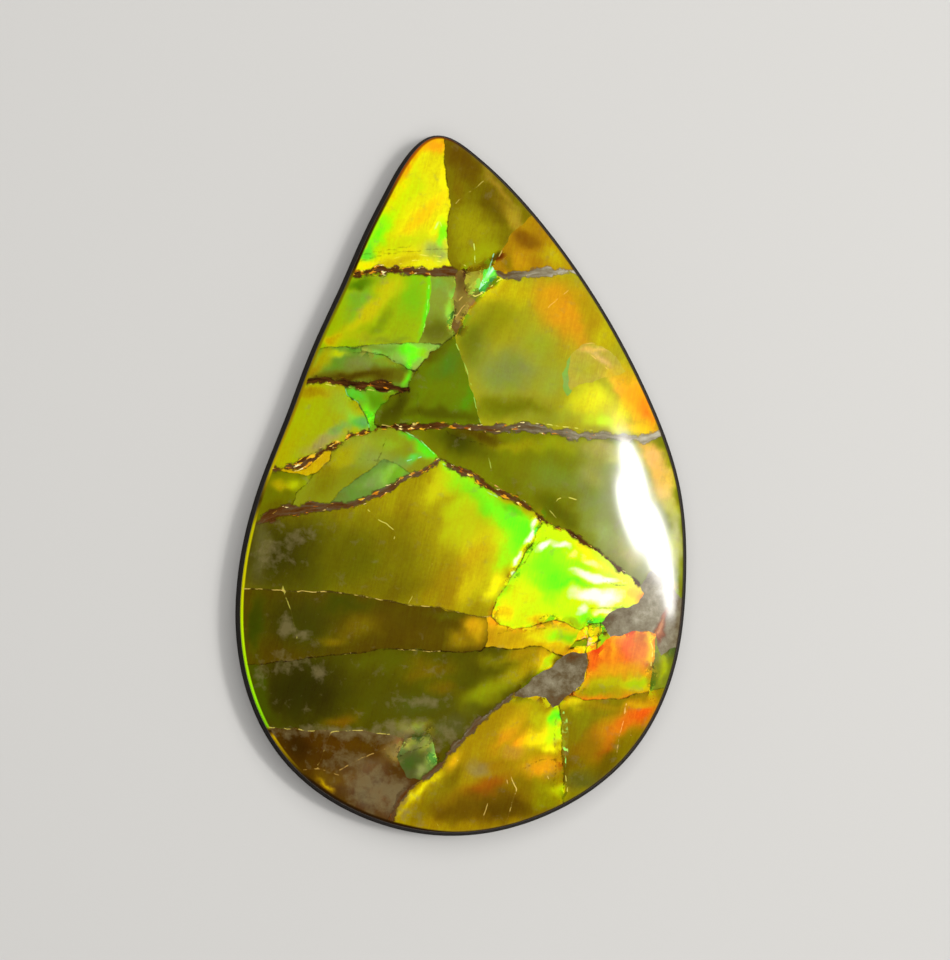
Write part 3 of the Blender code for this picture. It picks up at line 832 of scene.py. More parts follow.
# Fractures beside which the shell is crushed: strength, reach in mm, route
CRUSHED = (
    (0.6, 0.35, "flash_left"),
    (0.5, 0.30, "strip_top"),
    (0.9, 0.40, "rubble_a"),
    (0.9, 0.40, "rubble_b"),
    (0.9, 0.40, "rubble_c"),
    (0.9, 0.40, "rubble_d"),
    (0.8, 0.35, "notch_left"),
    (0.8, 0.35, "notch_right"),
    (0.9, 0.35, "flake"),
    (0.9, 0.30, "glint"),
    (0.5, 0.25, "neck_left"),
    (0.4, 0.25, "emerald"),
    (0.4, 0.25, "bottle_left"),
    (0.5, 0.25, "wedge_foot"),
    (0.5, 0.30, "upright"),
    (0.7, 0.35, "ember_right"),
    (0.7, 0.50, "green_patch"),
    (0.6, 0.40, "wedge_rock"),
    (0.5, 0.30, "rock_right"),
)
CRUSH_BLOTCH_MM = 0.8
CRUSH_UNEVEN = 0.8
CRUSH_SEED = 51

# Pale smudges: (x, y, half length, half width, turn in degrees, strength), in pixels
SMUDGES = (
    (287, 628, 9, 8, 0, 0.9),
    (305, 636, 11, 6, -20, 0.7),
    (318, 671, 9, 6, 60, 0.8),
    (275, 552, 30, 14, 60, 0.4),
    (300, 540, 30, 10, 30, 0.4),
    (280, 665, 26, 14, 0, 0.35),
    (330, 732, 60, 6, 0, 0.7),
    (395, 731, 34, 10, 10, 0.8),
    (380, 792, 36, 20, -30, 0.8),
    (345, 760, 30, 12, 20, 0.36),
    (418, 703, 24, 8, 0, 0.6),
    (445, 735, 30, 12, 20, 0.5),
    (573, 750, 8, 16, 0, 0.2),
)

# The rim's bright line down the left side, a painted highlight in the shell's hues where the bevel catches
# the light: (pixel height, hue, glow)
LEFT_RIM_HIGHLIGHT = (
    (130, "orange", 0.75),
    (175, "orange", 0.6),
    (200, "amber", 0.3),
    (264, "amber", 0.15),
    (275, "yellow", 0.45),
    (330, "yellow", 0.55),
    (400, "gold", 0.62),
    (470, "old_gold", 0.8),
    (500, "gold", 0.3),
    (525, "yellow", 0.8),
    (580, "yellow", 0.88),
    (620, "lime", 1.0),
    (700, "leaf", 1.0),
    (727, "leaf", 0.85),
    (731, "amber", 0.1),
    (736, "gold", 0.85),
    (760, "gold", 0.5),
    (782, "amber", 0.15),
)
LEFT_RIM_HIGHLIGHT_LIMIT = ((120, 440), (150, 445), (800, 430))  # where it ends: (pixel height, pixel from the left)
LEFT_RIM_HIGHLIGHT_FADE = 50.0  # pixels over which it fades out there
RIM_GLOW = 0.12  # of the rim elsewhere
RIM_LINE_MM = 0.19  # how far in from the edge a ring of points runs, to keep the rim crisp
SHELL_OVER_RIM_MM = 0.11  # on the other side the face's colours run this far over the rounding

# Ovals of light whose mirror image on the dome is the white leaf and the haze round it: name, size
# in mm, turn in degrees, place in mm, watts
WINDOWS = (
    ("window_top", (58, 29), -81, (149, 33), 0.19),
    ("window_side", (46, 25), -54, (142, 20), 0.135),
    ("window_middle", (58, 29), -42, (168, 9), 0.19),
    ("window_foot", (36, 16), -66, (189, -12), 0.07),
    ("haze_near", (80, 60), -62, (154, 13), 0.03),
    ("haze_middle", (98, 76), -62, (152, 6), 0.035),
    ("haze_far", (118, 94), -62, (150, -2), 0.04),
)
WINDOW_HEIGHT_MM = 330.0

# A soft square light overhead, which the polish doesn't mirror
OVERHEAD_SIZE_MM = (420, 420)
OVERHEAD_PLACE_MM = (60, 40, 420)
OVERHEAD_WATTS = 2.0
SKY_STRENGTH = 0.7
FLOOR_SIZE = 0.6  # metres

# The camera, held over the face at the photograph's centre
CAMERA_OFFSET_MM = (-7.4, -6.0, 250.0)
FACE_LEVEL_MM = 4.0
LENS_MM = 150
SENSOR_MM = 36
CLIP_START = 0.01  # metres

# Geometry helpers


def smooth_loop(points, steps):
    """A closed curve of even curvature through the points: a periodic cubic spline on chord length."""
    points = np.array(points, float)
    count = len(points)
    following = np.roll(points, -1, axis=0)
    chord = np.linalg.norm(following - points, axis=1)
    system = np.zeros((count, count))
    wanted = np.zeros((count, 2))
    for i in range(count):
        before, after = chord[i - 1], chord[i]
        system[i, i - 1] = after
        system[i, i] = 2 * (before + after)
        system[i, (i + 1) % count] = before
        wanted[i] = 3 * (
            after / before * (points[i] - points[i - 1])
            + before / after * (following[i] - points[i])
        )
    slope = np.linalg.solve(system, wanted)
    curve = []
    for i in range(count):
        for t in np.arange(steps) / steps:
            curve.append(
                (2 * t**3 - 3 * t**2 + 1) * points[i]
                + (t**3 - 2 * t**2 + t) * chord[i] * slope[i]
                + (3 * t**2 - 2 * t**3) * following[i]
                + (t**3 - t**2) * chord[i] * slope[(i + 1) % count]
            )
    return np.array(curve)


def outward(loop):
    """Unit normals of a clockwise loop, pointing out of it."""
    along = np.roll(loop, -1, axis=0) - np.roll(loop, 1, axis=0)
    along /= np.linalg.norm(along, axis=1)[:, None]
    return np.stack([-along[:, 1], along[:, 0]], axis=1)


def evenly(route, step):
    """The same open line with points about step apart. Columns past x and y are carried along."""
    gaps = np.linalg.norm(np.diff(route[:, :2], axis=0), axis=1)
    along = np.concatenate([[0], np.cumsum(gaps)])
    places = np.linspace(0, along[-1], max(2, round(along[-1] / step) + 1))
    return np.stack([np.interp(places, along, column) for column in route.T], axis=1)


def ragged(route, roughness, step):
    """A route broken into short crooked steps, as a crack runs through brittle shell.

    Its own coordinates seed it, so each route breaks in its own way, the same on every run.
    """
    chance = np.random.default_rng(int(abs(route[:, :2]).sum() * MICRONS_PER_MM))
    while np.linalg.norm(np.diff(route[:, :2], axis=0), axis=1).max() > step:
        spans = np.diff(route[:, :2], axis=0)
        middles = (route[1:] + route[:-1]) / 2
        sideways = np.stack([-spans[:, 1], spans[:, 0]], axis=1)
        middles[:, :2] += sideways * chance.uniform(-roughness, roughness, (len(spans), 1))
        longer = np.empty((len(route) + len(middles), route.shape[1]))
        longer[0::2] = route
        longer[1::2] = middles
        route = longer
    return evenly(route, step)


def cloud(points, size, seed):
    """Smooth random values between -1 and 1, in blotches about size across."""
    lattice = np.random.default_rng(seed).uniform(-1, 1, (LATTICE_CELLS + 1, LATTICE_CELLS + 1))
    place = points / size + LATTICE_START
    cell = np.floor(place).astype(int)
    part = place - cell
    part = part * part * (3 - 2 * part)
    column, row = (cell % LATTICE_CELLS).T
    across, up = part.T
    low = lattice[column, row] * (1 - across) + lattice[column + 1, row] * across
    high = lattice[column, row + 1] * (1 - across) + lattice[column + 1, row + 1] * across
    return low * (1 - up) + high * up


def neighbours(points):
    """A search tree over points in the plane."""
    tree = kdtree.KDTree(len(points))
    for index, (x, y) in enumerate(points):
        tree.insert((x, y, 0), index)
    tree.balance()
    return tree


def nearest(tree, points):
    """For each point, the index of the nearest one in the tree and its distance."""
    found = [tree.find((x, y, 0))[1:] for x, y in points]
    return np.array([index for index, gap in found]), np.array([gap for index, gap in found])


def read(items, name, kind, width=1):
    """One value of each vertex, face or loop of a mesh, as an array with a row for each."""
    values = np.empty(len(items) * width, kind)
    items.foreach_get(name, values)
    return values if width == 1 else values.reshape(-1, width)


# The outline and the wall below it, in mm

WALL_TOP_MM = RIM_HEIGHT_MM - RIM_RADIUS_MM + RIM_RADIUS_MM * math.sin(WALL_LEAN)
WALL_FOOT_MM = RIM_RADIUS_MM * math.cos(WALL_LEAN) + math.tan(WALL_LEAN) * (WALL_TOP_MM - BASE_CHAMFER_MM)
COARSE_EDGE = smooth_loop(FACE_EDGE_MM, SOLID_STEPS_PER_SPAN)
WIDEST = COARSE_EDGE + outward(COARSE_EDGE) * WALL_FOOT_MM
MIDDLE = (WIDEST.min(axis=0) + WIDEST.max(axis=0)) / 2
CROWN = np.array(CROWN_MM) - MIDDLE


def to_part(pixels):
    """Photograph pixels as mm in the part's frame. Columns past x and y are carried along."""
    pixels = np.array(pixels, float)
    part = pixels.copy()
    part[..., 0] = (pixels[..., 0] - PHOTO_ORIGIN[0]) / PIXELS_PER_MM - MIDDLE[0]
    part[..., 1] = (PHOTO_ORIGIN[1] - pixels[..., 1]) / PIXELS_PER_MM - MIDDLE[1]
    return part


def to_photo(part):
    """The pixels where points of the part lie."""
    x = (part[:, 0] + MIDDLE[0]) * PIXELS_PER_MM + PHOTO_ORIGIN[0]
    y = PHOTO_ORIGIN[1] - (part[:, 1] + MIDDLE[1]) * PIXELS_PER_MM
    return np.stack([x, y], axis=1)


def face_edge():
    """The polished face's edge, as points about EDGE_STEP apart, clockwise."""
    fine = smooth_loop(FACE_EDGE_MM, FINE_STEPS_PER_SPAN) - MIDDLE
    loop = evenly(np.vstack([fine, fine[:1]]), EDGE_STEP)[:-1]
    return loop - outward(loop) * HAIR_INSIDE_MM


def dome_height(reach):
    """Height of the face at a share of the way from the crown to the edge."""
    return RIM_HEIGHT_MM + DOME_RISE_MM * (1 - np.clip(reach, 0, 1) ** DOME_FULLNESS)


def share_of_reach(points, edge):
    """How far each point lies on the straight way from the crown (0) out to the edge (1)."""
    def turn(places):
        return np.arctan2(places[:, 1] - CROWN[1], places[:, 0] - CROWN[0])

    edge_turn = turn(edge)
    order = np.argsort(edge_turn)
    edge_reach = np.linalg.norm(edge - CROWN, axis=1)
    limit = np.interp(turn(points), edge_turn[order], edge_reach[order], period=2 * math.pi)
    return np.linalg.norm(points - CROWN, axis=1) / limit


# The cut face


def joined(routes):
    """Ties loose route ends to the nearest other route, so that no shard leaks into the next."""
    for name, route in routes.items():
        others = np.vstack([other[:, :2] for key, other in routes.items() if key != name])
        gaps = others[None, :, :] - route[[0, -1], None, :2]
        gaps = np.linalg.norm(gaps, axis=2)
        first, last = gaps.argmin(axis=1)
        if TOUCHING_MM < gaps[0, first] < JOIN_REACH_MM:
            route = np.vstack([np.append(others[first], route[0, 2:]), route])
        if TOUCHING_MM < gaps[1, last] < JOIN_REACH_MM:
            route = np.vstack([route, np.append(others[last], route[-1, 2:])])
        routes[name] = route
    return routes


def crack_routes():
    """Every fracture and vein as a ragged line in mm. A vein's points keep their width."""
    routes = {}
    for name, route in FRACTURES.items():
        routes[name] = ragged(to_part(route), CRACK_ROUGHNESS, SEAM_STEP)
    for name, vein in VEINS.items():
        routes[name] = ragged(to_part(vein["route"]), VEIN_ROUGHNESS, SEAM_STEP)
    return joined(routes)


def hairline_routes(lines):
    """Hairlines as (strength, hue, ragged line in mm)."""
    routes = []
    for strength, hue, route in lines:
        routes.append((strength, HUES[hue], ragged(to_part(route), HAIR_ROUGHNESS, SEAM_STEP)))
    return routes


def field_points(edge, lines):
    """A grid of points in equal triangles over the face, clear of its edge and of every line."""
    low, high = edge.min(axis=0), edge.max(axis=0)
    rows = np.arange(low[1], high[1], FIELD_STEP * math.sqrt(3) / 2)
    field = []
    for index, y in enumerate(rows):
        xs = np.arange(low[0] + FIELD_STEP / 2 * (index % 2), high[0], FIELD_STEP)
        field.append(np.stack([xs, np.full(len(xs), y)], axis=1))
    field = np.vstack(field)
    near_lines = nearest(neighbours(np.vstack(lines)), field)[1]
    near_edge = nearest(neighbours(edge), field)[1]
    within = share_of_reach(field, edge) < 1
    return field[(near_lines > CLEAR_OF_SEAMS) & (near_edge > CLEAR_OF_EDGE) & within]


def triangulate(edge, cracks, hairs):
    """Fills the face's edge with triangles that follow every crack and hairline.

    Returns the corners, the triangles and the pairs of corners that lie along a crack.
    """
    lines = [*cracks, *hairs]
    points = []
    links = []
    for line in lines:
        start = len(points)
        points.extend(line)
        links.extend((i, i + 1) for i in range(start, len(points) - 1))
    crack_links = sum(len(line) - 1 for line in cracks)
    start = len(points)
    points.extend(edge)
    links.extend((start + i, start + (i + 1) % len(edge)) for i in range(len(edge)))
    points.extend(field_points(edge, lines))
    corners, sides, faces, _, side_sources, _ = delaunay_2d_cdt(
        [Vector(point) for point in points], links, [], WHOLE_HULL, MERGE_MM, True
    )
    corners = np.array(corners)
    faces = np.array(faces)
    faces = faces[share_of_reach(corners[faces].mean(axis=1), edge) < 1]
    used = np.unique(faces)
    renumbered = np.full(len(corners), -1)
    renumbered[used] = np.arange(len(used))
    barriers = set()
    for side, sources in zip(sides, side_sources):
        if any(source < crack_links for source in sources):
            barriers.add(tuple(sorted(renumbered[list(side)])))
    return corners[used], renumbered[faces], barriers


def shards_of(corners, faces, barriers):
    """The shard that each triangle belongs to, as an index into SHARDS.

    A shard spreads from its seed to every triangle that no crack parts from it. The few specks
    that no seed reaches join the nearest shard.
    """
    across = {}
    for index, face in enumerate(faces):
        for k in range(3):
            side = tuple(sorted((face[k - 1], face[k])))
            if side not in barriers:
                across.setdefault(side, []).append(index)
    touching = [[] for _ in faces]
    for pair in across.values():
        if len(pair) == 2:
            touching[pair[0]].append(pair[1])
            touching[pair[1]].append(pair[0])
    centres = corners[faces].mean(axis=1)
    tree = neighbours(centres)
    shard = np.full(len(faces), -1)
    for number, facts in enumerate(SHARDS.values()):
        start = tree.find((*to_part(facts["seed"]), 0))[1]
        shard[start] = number
        waiting = [start]
        while waiting:
            for index in touching[waiting.pop()]:
                if shard[index] < 0:
                    shard[index] = number
                    waiting.append(index)
    found = np.flatnonzero(shard >= 0)
    lost = np.flatnonzero(shard < 0)
    closest, _ = nearest(neighbours(centres[found]), centres[lost])
    shard[lost] = shard[found[closest]]
    return shard


# Colour carried by the mesh


def spot(pixels, x, y, half_length, half_width, turn):
    """Strength of a soft oval spot: 1 at its middle, a half at its edge."""
    lean = math.radians(turn)
    right, down = pixels[:, 0] - x, pixels[:, 1] - y
    along = right * math.cos(lean) - down * math.sin(lean)
    aside = right * math.sin(lean) + down * math.cos(lean)
    far = (along / half_length) ** 2 + (aside / half_width) ** 2
    return 0.5**far**SPOT_FIRMNESS


def flashes_at(pixels, facts):
    """Hue, glow, milk_and_glare and rock of one shard at the given pixels."""
    def reading(hue, glow, milk_and_glare):
        return np.array([0.0 if hue == "rock" else HUES[hue], glow, milk_and_glare, float(hue == "rock")])

    warped = pixels.copy()
    for size, push, seed in FLASH_WARPS:
        warped[:, 0] += push * cloud(pixels, size, seed)
        warped[:, 1] += push * cloud(pixels, size, seed + 1)
    looks = np.tile(reading(*facts["colour"]), (len(pixels), 1))
    for x, y, half_length, half_width, turn, *look in facts["flashes"]:
        strength = spot(warped, x, y, half_length, half_width, turn)[:, None]
        looks = looks * (1 - strength) + reading(*look) * strength
    return looks


def vein_fields(points):
    """Where each point lies against the nearest vein, in mm, and how that vein looks there.

    The first three columns are depth inside the vein (negative outside), run along it and signed
    distance from its middle. The last two are its tone and its gold.
    """
    samples = []
    for name, vein in VEINS.items():
        route = CRACKS[name]
        share = np.linspace(0, 1, len(route))[:, None]
        ends = np.array([vein["tone"], vein["gold"]])
        looks = ends[:, 0] * (1 - share) + ends[:, 1] * share
        run = share * len(route) * SEAM_STEP
        along = np.gradient(route[:, :2], axis=0)
        along /= np.linalg.norm(along, axis=1)[:, None]
        half_width = route[:, 2:] / PIXELS_PER_MM / 2
        samples.append(np.hstack([route[:, :2], half_width, run, looks, along]))
    samples = np.vstack(samples)
    index, gap = nearest(neighbours(samples[:, :2]), points)
    x, y, half_width, run, tone, gold, along_x, along_y = samples[index].T
    aside = along_x * (points[:, 1] - y) - along_y * (points[:, 0] - x)
    return np.stack([half_width * VEIN_FULLNESS - gap, run, aside, tone, gold], axis=1)


def line_fields(points, hairs):
    """Each point's distance from the nearest of the hairlines in mm, its strength and its hue."""
    samples = np.vstack([route for _, _, route in hairs])
    looks = np.vstack([np.tile((strength, hue), (len(route), 1)) for strength, hue, route in hairs])
    index, gap = nearest(neighbours(samples), points)
    return np.column_stack([np.minimum(gap, FAR_MM), looks[index]])


def crush_field(points):
    """How crushed the shell is at each point: strongest along the most broken fractures."""
    samples = []
    for strength, reach, name in CRUSHED:
        route = CRACKS[name][:, :2]
        samples.append(np.column_stack([route, np.tile((strength, reach), (len(route), 1))]))
    samples = np.vstack(samples)
    index, gap = nearest(neighbours(samples[:, :2]), points)
    strength, reach = samples[index, 2:].T
    reach = reach * (1 + CRUSH_UNEVEN * cloud(points, CRUSH_BLOTCH_MM, CRUSH_SEED))
    return strength * np.exp(-((gap / reach) ** 2))


def smudge_field(points):
    """How strongly pale mineral smudges cloud the face at each point."""
    pixels = to_photo(points)
    total = np.zeros(len(points))
    for *place, strength in SMUDGES:
        total = np.maximum(total, strength * spot(pixels, *place))
    return total


def rim_fields(points, edge):
    """How far in from the face's edge each point lies, in mm, and the edge line's hue and glow there.

    The line is shell brightened into a painted highlight, only down the left side. Elsewhere the face's
    own colours run on over the rim's rounding, as if the edge lay further out.
    """
    inset = nearest(neighbours(edge), points)[1]
    inset = np.where(share_of_reach(points, edge) > 1, -inset, inset)
    pixels = to_photo(points)
    heights = [stop[0] for stop in LEFT_RIM_HIGHLIGHT]
    hue = np.interp(pixels[:, 1], heights, [HUES[stop[1]] for stop in LEFT_RIM_HIGHLIGHT])
    glow = np.interp(pixels[:, 1], heights, [stop[2] for stop in LEFT_RIM_HIGHLIGHT])
    limit = np.interp(pixels[:, 1], *zip(*LEFT_RIM_HIGHLIGHT_LIMIT))
    left = np.clip((limit - pixels[:, 0]) / LEFT_RIM_HIGHLIGHT_FADE + 0.5, 0, 1)
    hue = np.where(left > 0, hue, HUES["amber"])
    glow = RIM_GLOW + (glow - RIM_GLOW) * left
    inset += (1 - left) * SHELL_OVER_RIM_MM
    return np.stack([np.minimum(inset, FAR_MM), hue, glow], axis=1)


def give(mesh, name, values, domain="POINT"):
    """Stores a number or a vector per point or per corner under a name that the material reads."""
    kind, slot = ("FLOAT", "value") if values.ndim == 1 else ("FLOAT_VECTOR", "vector")
    layer = mesh.attributes.new(name, kind, domain)
    layer.data.foreach_set(slot, np.ascontiguousarray(values).ravel())


# Materials


def linear(hex_colour, alpha=1.0):
    """An sRGB hex colour as linear RGBA."""
    channels = [int(hex_colour[k : k + 2], 16) / 255 for k in (1, 3, 5)]
    flat = [c / 12.92 if c <= 0.04045 else ((c + 0.055) / 1.055) ** 2.4 for c in channels]
    return (*flat, alpha)


def add(tree, kind, *values, out=0, ramp=None, **named):
    """Adds a node. Values fill its sockets in order; named ones are settings or sockets by name.

    A value that is another node's socket is linked. Returns the output socket asked for.
    """
    node = tree.nodes.new("ShaderNode" + kind)
    for name in [name for name in named if hasattr(node, name)]:
        setattr(node, name, named.pop(name))
    for name, value in [*enumerate(values), *named.items()]:
        if value is None:
            continue
        socket = node.inputs[name]
        if isinstance(value, bpy.types.NodeSocket):
            tree.links.new(value, socket)
        else:
            socket.default_value = value
    if ramp:
        stops = node.color_ramp.elements
        while len(stops) < len(ramp):
            stops.new(0.5)
        for stop, (position, colour) in zip(stops, ramp):
            stop.position = position
            stop.color = linear(colour)
    return node.outputs[out]


def blank_material(name):
    """A material with only its shader and output left to wire."""
    material = bpy.data.materials.new(name)
    material.use_nodes = True
    return material, material.node_tree, material.node_tree.nodes["Principled BSDF"]


def in_mm(tree):
    """The place on the piece itself, in mm."""
    place = add(tree, "TexCoord", out="Object")
    return add(tree, "VectorMath", place, Scale=1 / MM, operation="SCALE")


def carried(tree, name):
    """The three numbers that the mesh carries under a name."""
    vector = add(tree, "Attribute", attribute_name=name, out="Vector")
    return add(tree, "SeparateXYZ", vector).node.outputs


def shell_flash(tree, mm, grain, bits, crush, hue, glow):
    """The colour that the shell flashes, and how brightly, up to 1.

    It drifts in broad patches 3 mm across, in soft streaks 5 mm long that lean with the shell's
    growth and in combed lines 0.1 mm apart. Crushed shell takes one hue and glow a facet, the glow
    a painted sparkle.
    """
    drift = add(tree, "TexNoise", Vector=mm, Scale=0.35, Detail=3.0, Roughness=0.55)
    drift = add(tree, "Math", drift, 0.5, operation="SUBTRACT")
    lean = (0, 0, math.radians(62))
    streak = add(tree, "Mapping", mm, None, lean, (5.0, 0.8, 1.0), vector_type="TEXTURE")
    streak = add(tree, "TexNoise", Vector=streak, Scale=1.0, Detail=3.0, Roughness=0.55)
    streak = add(tree, "Math", streak, 0.5, operation="SUBTRACT")
    lean = (0, 0, math.radians(78))
    combed = add(tree, "Mapping", mm, None, lean, (1.3, 0.09, 1.0), vector_type="TEXTURE")
    combed = add(tree, "TexNoise", Vector=combed, Scale=1.0, Detail=2.0, Roughness=0.5)
    combed = add(tree, "Math", combed, 0.5, operation="SUBTRACT")
    # Crushed facets: each shifts the hue at random, and its glow, from dim to past white, is a painted
    # sparkle
    bit_share = add(tree, "MapRange", crush, 0.15, 0.75, 0.0, 1.0)
    bit_hue = add(tree, "Math", bits["X"], 0.5, operation="SUBTRACT")
    bit_hue = add(tree, "Math", bit_hue, bit_share, operation="MULTIPLY")
    bit_glow = add(tree, "MapRange", bits["Y"], 0.0, 1.0, 0.25, 2.3)

    # Which colour
    wander = add(tree, "Math", drift, 0.08, hue, operation="MULTIPLY_ADD")
    wander = add(tree, "Math", streak, 0.07, wander, operation="MULTIPLY_ADD")
    wander = add(tree, "Math", combed, 0.07, wander, operation="MULTIPLY_ADD")
    wander = add(tree, "Math", grain, 0.06, wander, operation="MULTIPLY_ADD")
    wander = add(tree, "Math", bit_hue, 0.36, wander, operation="MULTIPLY_ADD")
    colour = add(tree, "ValToRGB", wander, ramp=SPECTRUM)

    # How bright: partly painted light, the lamp that each shard throws back. Past full brightness the
    # colour pales instead, into a painted white glare.
    change = add(tree, "Math", drift, 0.28, 1.2, operation="MULTIPLY_ADD")
    change = add(tree, "Math", streak, 0.38, change, operation="MULTIPLY_ADD")
    change = add(tree, "Math", combed, 0.26, change, operation="MULTIPLY_ADD")
    change = add(tree, "Math", grain, 0.40, change, operation="MULTIPLY_ADD")
    change = add(tree, "Mix", Factor=bit_share, A=change, B=bit_glow)
    level = add(tree, "Math", glow, GLOW_CURVE, operation="POWER")
    level = add(tree, "Math", level, change, operation="MULTIPLY")
    held = add(tree, "Math", level, 1.0, operation="MINIMUM")
    colour = add(tree, "VectorMath", colour, Scale=held, operation="SCALE")
    over = add(tree, "MapRange", level, 1.45, 3.1, 0.0, 1.0)
    return add(tree, "MixRGB", over, colour, linear("#F6FFD8")), held


def clouded(tree, mm, colour, held, milk_and_glare):
    """The shell's colour under soft milky patches, partly painted glare by the leaf, and ragged pale
    mineral smudges.
    """
    veil = add(tree, "TexNoise", Vector=mm, Scale=0.9, Detail=4.0, Roughness=0.6)
    veil = add(tree, "MapRange", veil, 0.3, 0.65, 0.4, 1.0)
    veil = add(tree, "Math", veil, milk_and_glare, operation="MULTIPLY")
    milk_level = add(tree, "Math", held, 0.8, 0.02, operation="MULTIPLY_ADD")
    milk = add(tree, "VectorMath", linear("#DCD2A0")[:3], Scale=milk_level, operation="SCALE")
    colour = add(tree, "MixRGB", veil, colour, milk)
    smudge = add(tree, "Attribute", attribute_name="smudge", out="Fac")
    cloudy = add(tree, "TexNoise", Vector=mm, Scale=1.3, Detail=4.0, Roughness=0.6, Distortion=0.2)
    cloudy = add(tree, "Math", smudge, 0.42, cloudy, operation="MULTIPLY_ADD")
    cloudy = add(tree, "MapRange", cloudy, 0.6, 0.84, 0.0, 0.5)
    colour = add(tree, "MixRGB", cloudy, colour, linear("#7A6E48"))
    return add(tree, "MixRGB", 1.0, colour, linear("#120B02"), blend_type="ADD")


def hairlined(tree, mm, colour, grain):
    """The same with hairline cracks, dark where open and bright in places where they catch light.

    Also returns how strongly each place is a dark crack.
    """
    gap, strength, _ = carried(tree, "dark_line")
    gap = add(tree, "Math", grain, 0.14, gap, operation="MULTIPLY_ADD")
    dark = add(tree, "MapRange", gap, 0.01, 0.075, 1.0, 0.0)
    dark = add(tree, "Math", dark, strength, operation="MULTIPLY")
    colour = add(tree, "MixRGB", dark, colour, linear("#241203"))
    gap, strength, hue = carried(tree, "light_line")
    light = add(tree, "MapRange", gap, 0.008, 0.05, 1.0, 0.0)
    light = add(tree, "Math", light, strength, operation="MULTIPLY")
    lit = add(tree, "TexNoise", Vector=mm, Scale=1.7, Detail=2.0, Roughness=0.5)
    lit = add(tree, "MapRange", lit, 0.49, 0.57, 0.04, 1.0)
    light = add(tree, "Math", light, lit, operation="MULTIPLY")
    hue = add(tree, "ValToRGB", hue, ramp=SPECTRUM)
    hue = add(tree, "MixRGB", 0.2, hue, linear("#FFF6C8"))
    return add(tree, "MixRGB", light, colour, hue), dark


def filled_with_rock(tree, mm, colour, grain, bits, tone, gold, glow):
    """The same with rock in the veins, streaky along each, and blotchy rock in the wedges.

    A vein has a dark border and threads of gold shell. A wedge has the tone that its glow says.
    Also returns how far each place is rock.
    """
    rock = add(tree, "Attribute", attribute_name="rock", out="Fac")
    depth, run, aside = carried(tree, "vein")
    fray = add(tree, "TexNoise", Vector=mm, Scale=1.3, Detail=3.0, Roughness=0.55)
    fray = add(tree, "Math", fray, 0.5, operation="SUBTRACT")
    depth = add(tree, "Math", fray, 0.95, depth, operation="MULTIPLY_ADD")
    depth = add(tree, "Math", grain, 0.25, depth, operation="MULTIPLY_ADD")
    filled = add(tree, "MapRange", depth, -0.09, 0.05, 0.0, 1.0)
    filled = add(tree, "Math", filled, rock, operation="MAXIMUM")

    along = add(tree, "CombineXYZ", run, aside)
    fibre = add(tree, "Mapping", along, None, None, (1.5, 0.22, 1.0), vector_type="TEXTURE")
    fibre = add(tree, "TexNoise", Vector=fibre, Scale=1.0, Detail=3.0, Roughness=0.6)
    fibre = add(tree, "Math", fibre, 0.5, operation="SUBTRACT")
    blotch = add(tree, "TexNoise", Vector=mm, Scale=1.4, Detail=5.0, Roughness=0.65)
    blotch = add(tree, "Math", blotch, 0.5, operation="SUBTRACT")
    texture = add(tree, "Mix", Factor=rock, A=fibre, B=blotch)
    strength = add(tree, "Mix", Factor=rock, A=0.9, B=0.85)
    tone = add(tree, "Mix", Factor=rock, A=tone, B=glow)
    tone = add(tree, "Math", texture, strength, tone, operation="MULTIPLY_ADD")
    tone = add(tree, "Math", grain, 0.2, tone, operation="MULTIPLY_ADD")
    stone = add(tree, "ValToRGB", tone, ramp=ROCK_TONES)

    in_vein = add(tree, "Math", 1.0, rock, operation="SUBTRACT")
    border = add(tree, "MapRange", depth, -0.02, 0.06, 0.75, 0.0)
    border = add(tree, "Math", border, in_vein, operation="MULTIPLY")
    stone = add(tree, "MixRGB", border, stone, linear("#2A1404"))
    thread = add(tree, "Mapping", along, (3.1, 1.7, 0.0), None, (0.6, 0.17, 1.0), vector_type="TEXTURE")
    thread = add(tree, "TexNoise", Vector=thread, Scale=1.0, Detail=2.0, Roughness=0.5)
    scarcity = add(tree, "MapRange", gold, 0.0, 1.0, 0.74, 0.53)
    thread = add(tree, "Math", thread, scarcity, operation="SUBTRACT")
    thread = add(tree, "MapRange", thread, 0.0, 0.05, 0.0, 1.0)
    thread = add(tree, "Math", thread, in_vein, operation="MULTIPLY")
    glint = add(tree, "ValToRGB", bits["Z"], ramp=GLINTS)
    stone = add(tree, "MixRGB", thread, stone, glint)
    return add(tree, "MixRGB", filled, colour, stone), filled


def rimmed(tree, colour):
    """The same with the rounded rim: shell seen edge-on, dark but for its painted highlight, a bright line
    on the left.

    Also returns how far in from the edge each place lies, in mm.
    """
    inset, hue, glow = carried(tree, "edge")
    rim = add(tree, "MapRange", inset, -0.03, 0.06, 1.0, 0.0)
    # The bright line on the left rim is a painted highlight: the shell's hue scaled by its glow
    glow = add(tree, "Math", glow, GLOW_CURVE, operation="POWER")
    line = add(tree, "ValToRGB", hue, ramp=SPECTRUM)
    line = add(tree, "VectorMath", line, Scale=glow, operation="SCALE")
    line = add(tree, "MixRGB", 1.0, line, linear("#1A0C02"), blend_type="ADD")
    return add(tree, "MixRGB", rim, colour, line), inset


